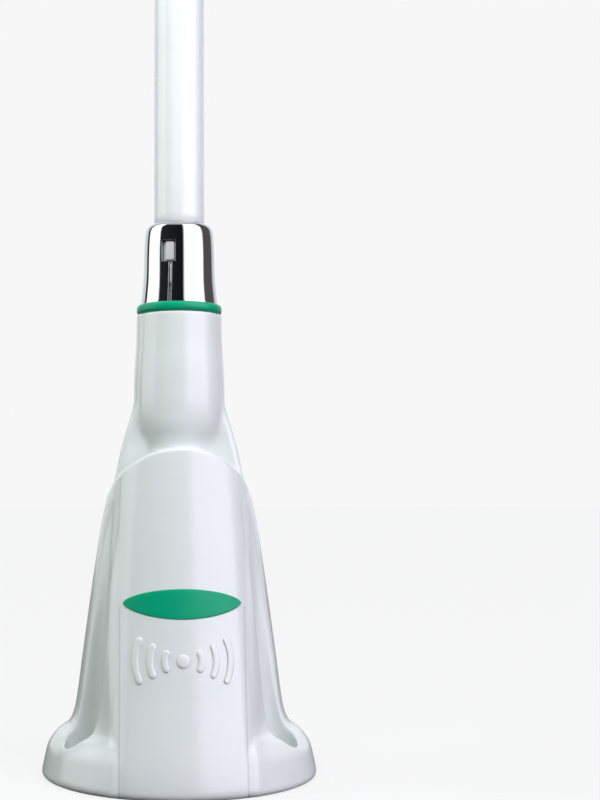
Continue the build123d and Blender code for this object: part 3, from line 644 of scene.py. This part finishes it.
class MakeBadge(bpy.types.Operator):
    """Makes the green lens on the shield"""

    bl_idname = "antenna.badge"
    bl_label = "Badge"

    def execute(self, context):
        # A lens whose height falls off as a parabola to a power below one. Across it, a loop whose
        # face is flat and whose edge is round.
        relief = context.scene.antenna_sizes.badge_relief
        along = BADGE_HALF_WIDTH * np.sin(np.linspace(-np.pi / 2, np.pi / 2, 90)[1:-1, None])
        tall = BADGE_HALF_HEIGHT * (1 - (along / BADGE_HALF_WIDTH) ** 2) ** BADGE_TIP_POWER
        turn = np.linspace(0, 2 * np.pi, 72, endpoint=False)[None, :]
        across, out = (np.sign(w) * np.abs(w) ** 0.35 for w in (np.cos(turn), np.sin(turn)))
        thick = np.minimum(BADGE_THICKNESS, 0.25 * tall)
        points = on_shield(along + 0 * turn, BADGE_Z + tall * across, relief - thick + thick * out)
        tips = on_shield(BADGE_HALF_WIDTH * np.array([-1.0, 1.0]), BADGE_Z + np.zeros(2), relief)
        # Polyester badge, printed on its back: deep, even colour under a soft sheen
        material = finish(
            "green_polyester_badge", (context.scene.antenna_colours.green, "00A87C"), (0.4, 0.46), 9.0, 0.004,
            IOR=1.57, Specular_IOR_Level=0.18,
        )
        verts, faces = closed_bar(points, tips)
        make_object("badge_lens", verts, faces, material, "base", ["band_badge"])
        return {"FINISHED"}


# Radii of the emblem's waves, and half the angle that each one spans
WAVE_RADII = (5.0, 9.0, 13.0)
WAVE_SWING = np.radians(24)


class MakeEmblem(bpy.types.Operator):
    """Makes the raised waves below the badge"""

    bl_idname = "antenna.emblem"
    bl_label = "Emblem"

    def execute(self, context):
        # Each stroke is a half-round bead along an arc of a circle. It is as wide as a circle's
        # chord near its ends, so that they are round.
        sizes = context.scene.antenna_sizes
        half_line = sizes.emblem_line / 2
        turn = np.linspace(0, 2 * np.pi, 24, endpoint=False)[None, :]
        shells = []
        strokes = [(0.0, 0.0)] + [(r, side) for r in WAVE_RADII for side in (0.0, np.pi)]
        for radius, side in strokes:
            reach = radius * WAVE_SWING + half_line if radius else 2 * half_line
            wide = half_line if radius else 2 * half_line
            place = np.sin(np.linspace(-np.pi / 2, np.pi / 2, 44))[1:-1, None] * reach
            over = np.clip((np.abs(place) - (reach - wide)) / wide, 0, 1)
            width = wide * np.sqrt(1 - over**2)
            height = np.where(np.sin(turn) > 0, np.sin(turn) ** 0.6, np.sin(turn))
            proud = sizes.emblem_relief * height * np.sqrt(1 - over**2) ** 0.6
            ring = radius + width * np.cos(turn)
            swing = side + place / max(radius, 1e-9) if radius else 0 * place
            if radius:
                x, z = ring * np.cos(swing), ring * np.sin(swing)
                tip = side + np.array([-reach, reach]) / radius
                tips = np.stack([radius * np.cos(tip), radius * np.sin(tip)], -1)
            else:
                x, z = ring + 0 * place, place + 0 * turn
                tips = np.array([[0, -reach], [0, reach]])
            points = on_shield(x, sizes.emblem_height + z, proud)
            ends = on_shield(tips[:, 0], sizes.emblem_height + tips[:, 1], np.zeros(2))
            shells.append(closed_bar(points, ends))
        material = bpy.data.materials["glossy_moulded_nylon"]
        piece = make_object("emblem_waves", *joined(shells), material, "base")
        return {"FINISHED"}


# ---------------------------------------------------------------- ring, ferrule and latch
class MakeRing(bpy.types.Operator):
    """Makes the green ring between the neck and the ferrule"""

    bl_idname = "antenna.ring"
    bl_label = "Ring"

    def execute(self, context):
        # A washer whose corners are rounded until its rim is a bead
        low, high, rim, hub = RING_LOW[2], RING_HIGH[2], RING_HIGH[0], 8.65
        outline = rounded([(hub, low), (rim, low), (rim, high), (hub, high)], 1.3, 9)
        # Dyed nylon washer, moulded satin: the colour goes through, and its edges catch light softly
        material = finish(
            "dyed_green_nylon", (context.scene.antenna_colours.green, "00A67C"), (0.3, 0.36), 0.6, 0.004,
            IOR=1.53, Specular_IOR_Level=0.28, Subsurface_Weight=0.1, Subsurface_Scale=0.5 * MM,
        )
        make_object("green_ring", *lathe(outline, 144), material, "base", ["ring_band"])
        return {"FINISHED"}


def thick_shell(outer, inner, kept):
    """A wall between two grids of points that close on themselves across. Cells that aren't kept
    are left open, and each rim of the wall is joined from the outer grid to the inner one."""
    rows, columns = outer.shape[:2]
    count = rows * columns
    verts = np.vstack([outer.reshape(-1, 3), inner.reshape(-1, 3)])
    quads = grid_faces(rows, columns)
    flat = kept.reshape(-1)
    faces = [quads[flat], (quads + count)[flat][:, ::-1]]
    i, j = np.meshgrid(np.arange(rows - 1), np.arange(columns), indexing="ij")
    last = np.roll(kept, 1, 1)
    upright = kept != last
    a, b = (i * columns + j)[upright], ((i + 1) * columns + j)[upright]
    wall = np.stack([a, b, b + count, a + count], -1)
    faces.append(np.where(kept[upright][:, None], wall, wall[:, ::-1]))
    padded = np.vstack([np.zeros((1, columns), bool), kept, np.zeros((1, columns), bool)])
    level = padded[1:] != padded[:-1]
    i, j = np.meshgrid(np.arange(rows), np.arange(columns), indexing="ij")
    a, b = (i * columns + j)[level], (i * columns + (j + 1) % columns)[level]
    wall = np.stack([a, b, b + count, a + count], -1)
    faces.append(np.where(padded[1:][level][:, None], wall[:, ::-1], wall))
    return verts, outward(verts, np.vstack(faces))


FERRULE_PROFILE = curve_through(
    [(135.5, 11.2), (138, 10.92), (142, 10.5), (146, 10.3), (150, 10.22), (154.5, 10.02)]
    + [(156.4, 9.8), (157.3, 9.58), (157.9, 9.22), (158.35, 8.7), (158.7, 8.15), (159.0, 7.7)]
)


FERRULE_BORE, LIP_BORE, LIP_Z = 8.9, 7.35, 156.5
# The window and the slit below it. Their sides are given beside the latch's line.
WINDOW_Z, WINDOW_HALF_WIDTH, WINDOW_HALF_HEIGHT = 150.05, 2.05, 3.05
SLIT_LEFT, SLIT_MIDDLE, SLIT_RIGHT, SLIT_TOP_Z = 0.15, 0.65, 1.15, 148


class MakeFerrule(bpy.types.Operator):
    """Makes the chromed ferrule with its latch window and key slit"""

    bl_idname = "antenna.ferrule"
    bl_label = "Ferrule"

    def execute(self, context):
        # Columns near the latch stand at set distances beside it, so that the window's sides are
        # flat planes. The others share out the rest of the turn.
        edge = WINDOW_HALF_WIDTH
        beside = np.array([-3.2, -2.6, -edge, -1, SLIT_LEFT, SLIT_MIDDLE, SLIT_RIGHT, 1.6, edge, 2.6, 3.2])
        low, high = FERRULE_LOW[2], FERRULE_HIGH[2]
        levels = np.concatenate(
            [
                [low, low + 0.5, low + 1.2, low + 2.5, low + 4, low + 6, low + 8, low + 10],
                [147.0, 148.2, 149.4, 150.6, 151.8, 153.1, 154.0, 155.0],
                [155.8, 156.4, 157.0, 157.5, 157.9, 158.2, 158.5, 158.7, 158.85, 158.94, high],
            ]
        )
        outer_r = FERRULE_PROFILE(levels)
        inner_r = np.where(levels < LIP_Z, FERRULE_BORE, LIP_BORE)

        def ring(radius):
            near = np.arcsin(beside[None, :] / radius[:, None])
            share = np.linspace(0, 1, 110)[1:-1]
            far = near[:, -1:] + (2 * np.pi - 2 * near[:, -1:]) * share
            turn = LATCH_ANGLE + np.hstack([near, far])
            r = radius[:, None]
            return np.stack([r * np.cos(turn), r * np.sin(turn), levels[:, None] + 0 * turn], -1)

        outer, inner = ring(outer_r), ring(inner_r)
        columns = outer.shape[1]
        middle = (levels[1:] + levels[:-1]) / 2
        side = np.full(columns, float(FAR))
        side[: len(beside) - 1] = (beside[1:] + beside[:-1]) / 2
        window = (np.abs(side) < WINDOW_HALF_WIDTH) & (
            np.abs(middle - WINDOW_Z)[:, None] < WINDOW_HALF_HEIGHT
        )
        slit = (side > SLIT_LEFT) & (side < SLIT_RIGHT) & (middle[:, None] < SLIT_TOP_Z)
        # Brass, polished and chromium plated: mirror-bright, a little cool, with faint polishing swirls
        material = finish(
            "polished_chrome_plate", ("D6D8DA", "CFD2D5"), (0.035, 0.07), 1.4, 0.0006, Metallic=1.0
        )
        shell = thick_shell(outer, inner, ~(window | slit))
        piece = make_object("chrome_ferrule", *shell, material, "whip", ["ferrule"])
        bevel = piece.modifiers.new("worn_edges", "BEVEL")
        bevel.width = 0.1 * MM
        bevel.segments = 3
        bevel.limit_method = "ANGLE"
        bevel.angle_limit = np.radians(45)
        return {"FINISHED"}


class MakeLatch(bpy.types.Operator):
    """Makes the nylon tongue, its nub in the window and the rib in the slit"""

    bl_idname = "antenna.latch"
    bl_label = "Latch"

    def execute(self, context):
        # Three blocks with rounded edges, in the latch's own axes: outward, sideways and up
        cos, sin = np.cos(LATCH_ANGLE), np.sin(LATCH_ANGLE)
        axes = np.array([[cos, sin, 0], [-sin, cos, 0], [0, 0, 1]])
        low, high = TONGUE_LOW[2], TONGUE_HIGH[2]
        rib_low, rib_high = low + 2, 146.2
        blocks = [
            # middle outward, sideways and up, half sizes the same way, squareness
            ((7.8, 0, (low + high) / 2), (0.5, 2.1, (high - low) / 2), 0.12),
            ((8.55, 0.12, WINDOW_Z), (0.95, 1.35, 2.7), 0.3),
            ((9.0, SLIT_MIDDLE, (rib_low + rib_high) / 2), (1.0, 0.24, (rib_high - rib_low) / 2), 0.2),
        ]
        shells = [pillow(np.array(place) @ axes, half, power, axes) for place, half, power in blocks]
        # Acetal from a spark-eroded tool: waxy light grey, softly lit
        material = finish(
            "waxy_grey_acetal", ("D2CFCF", "C8C5C6"), (0.3, 0.38), 0.5, 0.006,
            IOR=1.48, Subsurface_Weight=0.15, Subsurface_Scale=0.6 * MM,
        )
        make_object("latch_nub_and_rib", *joined(shells), material, "latch", ["latch_tongue"])
        return {"FINISHED"}


class MakeSpring(bpy.types.Operator):
    """Makes the coil spring under the centre contact, at one length. The real spring shortens as the contact goes
    down.
    """

    bl_idname = "antenna.spring"
    bl_label = "Contact spring"

    def execute(self, context):
        # A circle the size of the wire, carried up a helix
        wire, turns = 0.14, 6
        low, high = SPRING_LOW[2], SPRING_HIGH[2]
        coil = SPRING_HIGH[0] - wire
        turn = np.linspace(0, 2 * np.pi * turns, 32 * turns + 1)[:, None]
        around = np.linspace(0, 2 * np.pi, 12, endpoint=False)[None, :]
        reach = coil + wire * np.cos(around)
        rise = low + wire + (high - low - 2 * wire) * turn / turn[-1]
        points = np.stack([reach * np.cos(turn), reach * np.sin(turn), rise + wire * np.sin(around)], -1)
        ends = points[[0, -1]].mean(1)
        # Hard-drawn stainless wire: bright, with fine drawing lines along it
        steel = finish(
            "drawn_spring_wire", ("C2C4C6", "AEB0B3"), (0.18, 0.3), 0.2, 0.002,
            Metallic=1.0, pattern="streaks",
        )
        coils = closed_bar(points, ends)
        spring = make_object("contact_coil_spring", *coils, steel, "base", ["contact_spring"])
        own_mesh(spring)
        return {"FINISHED"}


# ---------------------------------------------------------------- whip
class MakeWhip(bpy.types.Operator):
    """Makes the tapered fibreglass radome and its tip cap"""

    bl_idname = "antenna.whip"
    bl_label = "Whip"

    def execute(self, context):
        # The tube is straight for its first 12 mm, then tapers evenly to its tip. Its bore is plain
        # for 35 mm and then follows the taper.
        low, high = TUBE_LOW[2], TUBE_HIGH[2]
        foot, tip, straight, steps = TUBE_HIGH[0], 4.15, 12, 24
        share = np.arange(1, steps + 1)[:, None] / steps
        start, end = np.array([foot, low + straight]), np.array([tip, high])
        outer = np.vstack([[(foot, low), (foot, low + straight / 2), start], start + (end - start) * share])
        inner = [(tip - 1.1, high), (foot - 1.75, low + 35), (foot - 1.75, low)]
        # Filament-wound fibreglass under white gelcoat: soft gloss, and the windings just tell
        gelcoat = finish(
            "white_gelcoat_fibreglass", (context.scene.antenna_colours.whip, "DCDFE0"), (0.2, 0.28),
            1.6, 0.01, IOR=1.52, Coat_Weight=0.3, Coat_Roughness=0.08,
        )
        make_object("whip_radome", *lathe(np.vstack([outer, inner])), gelcoat, "whip", ["radome_tube"])
        # The cap is a dome on a short tube, with a socket from below
        cap_low, cap_high, cap = CAP_LOW[2], CAP_HIGH[2], CAP_HIGH[0]
        socket_r, socket_top, dome_height, chamfer = 4.25, cap_low + 15, 6, 0.4
        turn = np.linspace(0, np.pi / 2, 14)
        dome = np.stack([cap * np.cos(turn), cap_high + dome_height * (np.sin(turn) - 1)], -1)
        skirt = [(0, socket_top), (socket_r, socket_top), (socket_r, cap_low)]
        skirt += [(cap - chamfer, cap_low), (cap, cap_low + chamfer)]
        outline = np.vstack([skirt, dome])
        # The dome ends on the axis
        outline[-1, 0] = 0
        # Nylon cap from a textured tool: whiter and duller than the gelcoat
        nylon = finish("satin_white_nylon_cap", ("E4E4E0", "DAD9D4"), (0.36, 0.48), 0.5, 0.01, IOR=1.53)
        make_object("whip_tip_cap", *solid_of_revolution(outline, 72), nylon, "whip", ["tip_cap"])
        return {"FINISHED"}


# ---------------------------------------------------------------- carried-over parts
# Finishes of the parts that come from the frame, by the record's material slot: name, two tints,
# two roughnesses, grain and depth in millimetres, and whatever else the shader takes
INNER_FINISHES = {
    # Acetal from a spark-eroded tool: waxy light grey
    "nylon_grey": ("moulded_grey_acetal", "BFC0C2 B3B5B8", (0.32, 0.42), 0.5, 0.008, dict(IOR=1.48)),
    # Nylon with a fine spark texture: the underside's plate looks dull and dry
    "cover_white": ("textured_white_nylon", "DEDFDD D2D3D0", (0.5, 0.62), 0.45, 0.02, dict(IOR=1.53)),
    # Closed-cell neoprene: even small cells, and no shine at all
    "foam_grey": ("closed_cell_neoprene", "54575A 46484B", (0.85, 0.95), 0.5, 0.06, dict(pattern="cells")),
    # EPDM rubber, moulded: near black, with a dusty bloom
    "rubber_black": ("moulded_epdm_rubber", "1C1D1E 27282A", (0.5, 0.66), 0.4, 0.012, dict(IOR=1.52)),
    # Stainless sheet and wire, barrel polished: bright grey with fine streaks
    "stainless": (
        "tumbled_stainless", "B9BABC A9ABAE", (0.22, 0.36), 0.3, 0.004, dict(Metallic=1.0, pattern="streaks")
    ),
    # Turned brass: yellow, with the rings of the lathe tool
    "brass": (
        "turned_brass", "D9B565 CBA453", (0.18, 0.32), 0.25, 0.005, dict(Metallic=1.0, pattern="rings")
    ),
    # Hard gold over brass: richer yellow and smoother
    "gold_brass": ("hard_gold_plate", "EFC46A E7B95C", (0.1, 0.18), 0.4, 0.002, dict(Metallic=1.0)),
    # Hot-tinned copper tag: soft grey, a little cloudy
    "tin": ("hot_dipped_tin", "C4C6C6 AEB1B3", (0.3, 0.48), 0.9, 0.01, dict(Metallic=1.0)),
    # PTFE rod, turned: very white and waxy
    "ptfe": ("turned_ptfe", "EEEEEA E4E4DF", (0.45, 0.55), 0.3, 0.008, dict(IOR=1.38, pattern="rings")),
    # Enamelled copper wire: orange-brown under a clear skin
    "copper": (
        "enamelled_copper", "C56A3A B45A2E", (0.16, 0.26), 0.5, 0.003, dict(Metallic=1.0, Coat_Weight=0.6)
    ),
    # Sintered ferrite: charcoal, gritty and dull
    "ferrite": ("sintered_ferrite", "3A3B3D 2E2F31", (0.6, 0.78), 0.35, 0.02, {}),
    # PVC jacket, extruded: black with a low sheen along its length
    "coax_jacket": (
        "extruded_black_pvc", "191A1B 232425", (0.4, 0.5), 0.8, 0.006, dict(IOR=1.52, pattern="streaks")
    ),
    # Polyethylene foam plugs: white with open-looking cells
    "foam_white": (
        "white_polyethylene_foam", "E8E8E4 DCDCD8", (0.8, 0.92), 0.8, 0.08, dict(pattern="cells")
    ),
    # Polypropylene former: natural white, slightly see-through
    "former_white": ("natural_polypropylene", "DFE0DC D5D6D2", (0.35, 0.45), 0.6, 0.006, dict(IOR=1.49)),
}


class FinishCarriedParts(bpy.types.Operator):
    """Gives the turned, cut and moulded parts from the frame their own finishes"""

    bl_idname = "antenna.finishes"
    bl_label = "Finishes of the inner parts"

    def execute(self, context):
        made = {}
        for slot, (name, tints, roughness, grain, depth, rest) in INNER_FINISHES.items():
            made[slot] = finish(name, tints.split(), roughness, grain, depth, **rest)
        for name, node in NODES.items():
            slot = material_slot(name)
            if slot in made:
                for place in node.material_slots:
                    place.material = made[slot]
        return {"FINISHED"}


# ---------------------------------------------------------------- stage
# Strength of the painted sky, how bright its plain backdrop is to the camera, and the floor's glow
SKY_STRENGTH, BACKDROP, FLOOR_GLOW = 1.2, 0.93, 0.78
ZENITH = (0.55, 0.57, 0.57, 1)
SOFTBOX_BANDS = [
    # degrees, red, green, blue: each pair of neighbours makes one soft edge
    (-180, 0.80, 0.82, 0.84),
    (-133, 0.70, 0.72, 0.72),
    (-129, 0.03, 0.03, 0.03),
    (-120, 0.03, 0.03, 0.03),
    (-115, 1.45, 1.52, 1.50),
    (-72, 1.45, 1.52, 1.50),
    (-66, 0.02, 0.02, 0.022),
    (10, 0.008, 0.008, 0.011),
    (21, 2.3, 2.25, 2.55),
    (76, 2.3, 2.25, 2.55),
    (85, 0.10, 0.085, 0.08),
    (127, 0.10, 0.085, 0.08),
    (134, 0.62, 0.64, 0.70),
    (180, 0.80, 0.82, 0.84),
]
# Metres: where the lamp hangs and what it points at, and how far off and how high the camera is
LAMP_AT, LAMP_TARGET = (-0.05, -0.17, 0.27), (0, 0, 0.12)
CAMERA_DISTANCE, CAMERA_Z, CAMERA_TURN = 0.403, 0.082, np.radians(2.0)


class SetStage(bpy.types.Operator):
    """Sets the floor, the softboxes round the object and the camera"""

    bl_idname = "antenna.stage"
    bl_label = "Stage"

    def execute(self, context):
        scene = context.scene
        scene.view_settings.view_transform = "Standard"
        self.make_floor()
        self.make_softboxes(scene)
        self.make_overhead(scene)
        self.make_camera(scene)
        return {"FINISHED"}

    def place(self, item, at, target):
        """Puts a lamp or the camera at a point, and turns it to face another."""
        item.location = at
        item.rotation_euler = (Vector(target) - Vector(at)).to_track_quat("-Z", "Y").to_euler()

    def make_floor(self):
        """A sheet that is far larger than what the camera sees."""
        mesh = bpy.data.meshes.new("floor")
        far = 6.0
        corners = [(-far, -far, 0), (far, -far, 0), (far, far, 0), (-far, far, 0)]
        mesh.from_pydata(corners, [], [(0, 1, 2, 3)])
        floor = bpy.data.objects.new("floor", mesh)
        bpy.context.scene.collection.objects.link(floor)
        material, tree, shader, place = new_material("matt_white_paper")
        fibre = add_node(tree, "TexNoise", {"Vector": place, "Scale": 1 / (2 * MM), "Detail": 2.0})
        tint = add_node(
            tree, "Mix", {0: fibre.outputs["Fac"], 6: linear("686868"), 7: linear("6C6C6C")}, data_type="RGBA"
        )
        # The paper glows evenly to the camera, and the object gets only what it reflects
        seen = add_node(tree, "LightPath").outputs["Is Camera Ray"]
        dim = add_node(tree, "Mix", {0: seen, 6: linear("5A5C5A"), 7: tint.outputs[2]}, data_type="RGBA")
        glow = add_node(tree, "Math", {0: seen, 1: FLOOR_GLOW}, operation="MULTIPLY")
        tree.links.new(dim.outputs[2], shader.inputs["Base Color"])
        tree.links.new(glow.outputs[0], shader.inputs["Emission Strength"])
        shader.inputs["Roughness"].default_value = 0.9
        shader.inputs["Specular IOR Level"].default_value = 0.0
        shader.inputs["Emission Color"].default_value = (1, 1, 1, 1)
        mesh.materials.append(material)

    def make_softboxes(self, scene):
        """A sky that is painted by direction: tall softboxes with black cards between them.

        A direction's angle is taken from straight in front, and grows towards the right.
        """
        world = bpy.data.worlds.new("softboxes")
        scene.world = world
        world.use_nodes = True
        tree = world.node_tree
        tree.nodes.clear()
        way = add_node(tree, "TexCoord").outputs["Generated"]
        axes = add_node(tree, "SeparateXYZ", {"Vector": way})
        back = add_node(tree, "Math", {0: axes.outputs["Y"], 1: -1.0}, operation="MULTIPLY")
        angle = add_node(tree, "Math", {0: axes.outputs["X"], 1: back.outputs[0]}, operation="ARCTAN2")
        share = add_node(tree, "MapRange", {"Value": angle.outputs[0], "From Min": -np.pi, "From Max": np.pi})
        round_it = add_node(tree, "ValToRGB", {"Fac": share.outputs[0]})
        ramp = round_it.color_ramp
        for n, (degrees, *colour) in enumerate(SOFTBOX_BANDS):
            at = (degrees + 180) / 360
            stop = ramp.elements[n] if n < 2 else ramp.elements.new(at)
            stop.position = at
            stop.color = (*colour, 1)
        up = add_node(
            tree,
            "MapRange",
            {"Value": axes.outputs["Z"], "From Min": 0.8, "From Max": 0.92},
            interpolation_type="SMOOTHSTEP",
        )
        sky = add_node(tree, "Mix", {0: up.outputs[0], 6: round_it.outputs[0], 7: ZENITH}, data_type="RGBA")
        seen = add_node(tree, "LightPath").outputs["Is Camera Ray"]
        lit = add_node(tree, "Background", {"Color": sky.outputs[2], "Strength": SKY_STRENGTH})
        plain = add_node(tree, "Background", {"Color": (1, 1, 1, 1), "Strength": BACKDROP})
        mixed = add_node(tree, "MixShader", {0: seen, 1: lit.outputs[0], 2: plain.outputs[0]})
        add_node(tree, "OutputWorld", {"Surface": mixed.outputs[0]})

    def make_overhead(self, scene):
        """A small lamp above and in front, near enough that the neck gets more of it than the flange.
        It is kept out of the reflections."""
        data = bpy.data.lights.new("overhead", "AREA")
        data.size = 0.16
        data.energy = 0.36
        data.color = (0.96, 1.0, 0.98)
        lamp = bpy.data.objects.new("overhead", data)
        scene.collection.objects.link(lamp)
        self.place(lamp, LAMP_AT, LAMP_TARGET)
        lamp.visible_glossy = False
        lamp.visible_camera = False

    def make_camera(self, scene):
        """Level, at the height of the shield's arch, and turned a little off the front."""
        data = bpy.data.cameras.new("camera")
        camera = bpy.data.objects.new("camera", data)
        scene.collection.objects.link(camera)
        data.sensor_fit = "VERTICAL"
        data.sensor_height = 36
        data.lens = 62.4
        data.shift_x = 0.151
        data.shift_y = 0.1125
        data.clip_start = 0.02
        data.clip_end = 50
        aside, ahead = np.sin(CAMERA_TURN), np.cos(CAMERA_TURN)
        at = (-CAMERA_DISTANCE * aside, -CAMERA_DISTANCE * ahead, CAMERA_Z)
        self.place(camera, at, (0, 0, CAMERA_Z))
        scene.camera = camera


# ---------------------------------------------------------------- panel and main
PIECES = [
    MakeHousing,
    MakeBadge,
    MakeEmblem,
    MakeRing,
    MakeFerrule,
    MakeLatch,
    MakeSpring,
    MakeWhip,
    FinishCarriedParts,
    SetStage,
]


class AntennaPanel(bpy.types.Panel):
    """The antenna's settings, and a button for each of its pieces"""

    bl_idname = "VIEW3D_PT_antenna"
    bl_label = "Whip antenna"
    bl_space_type = "VIEW_3D"
    bl_region_type = "UI"
    bl_category = "Antenna"

    def draw(self, context):
        for group in (context.scene.antenna_sizes, context.scene.antenna_colours):
            box = self.layout.box()
            for name in group.bl_rna.properties.keys():
                if name not in ("rna_type", "name"):
                    box.prop(group, name)
        for piece in PIECES:
            self.layout.operator(piece.bl_idname)


CLASSES = [AntennaSizes, AntennaColours, *PIECES, AntennaPanel]


def register():
    for item in CLASSES:
        bpy.utils.register_class(item)
    bpy.types.Scene.antenna_sizes = bpy.props.PointerProperty(type=AntennaSizes)
    bpy.types.Scene.antenna_colours = bpy.props.PointerProperty(type=AntennaColours)


def unregister():
    del bpy.types.Scene.antenna_colours
    del bpy.types.Scene.antenna_sizes
    for item in reversed(CLASSES):
        bpy.utils.unregister_class(item)


def main():
    register()
    bpy.ops.antenna.housing()
    bpy.ops.antenna.badge()
    bpy.ops.antenna.emblem()
    bpy.ops.antenna.ring()
    bpy.ops.antenna.ferrule()
    bpy.ops.antenna.latch()
    bpy.ops.antenna.spring()
    bpy.ops.antenna.whip()
    bpy.ops.antenna.finishes()
    bpy.ops.antenna.stage()


if __name__ == "__main__":
    main()
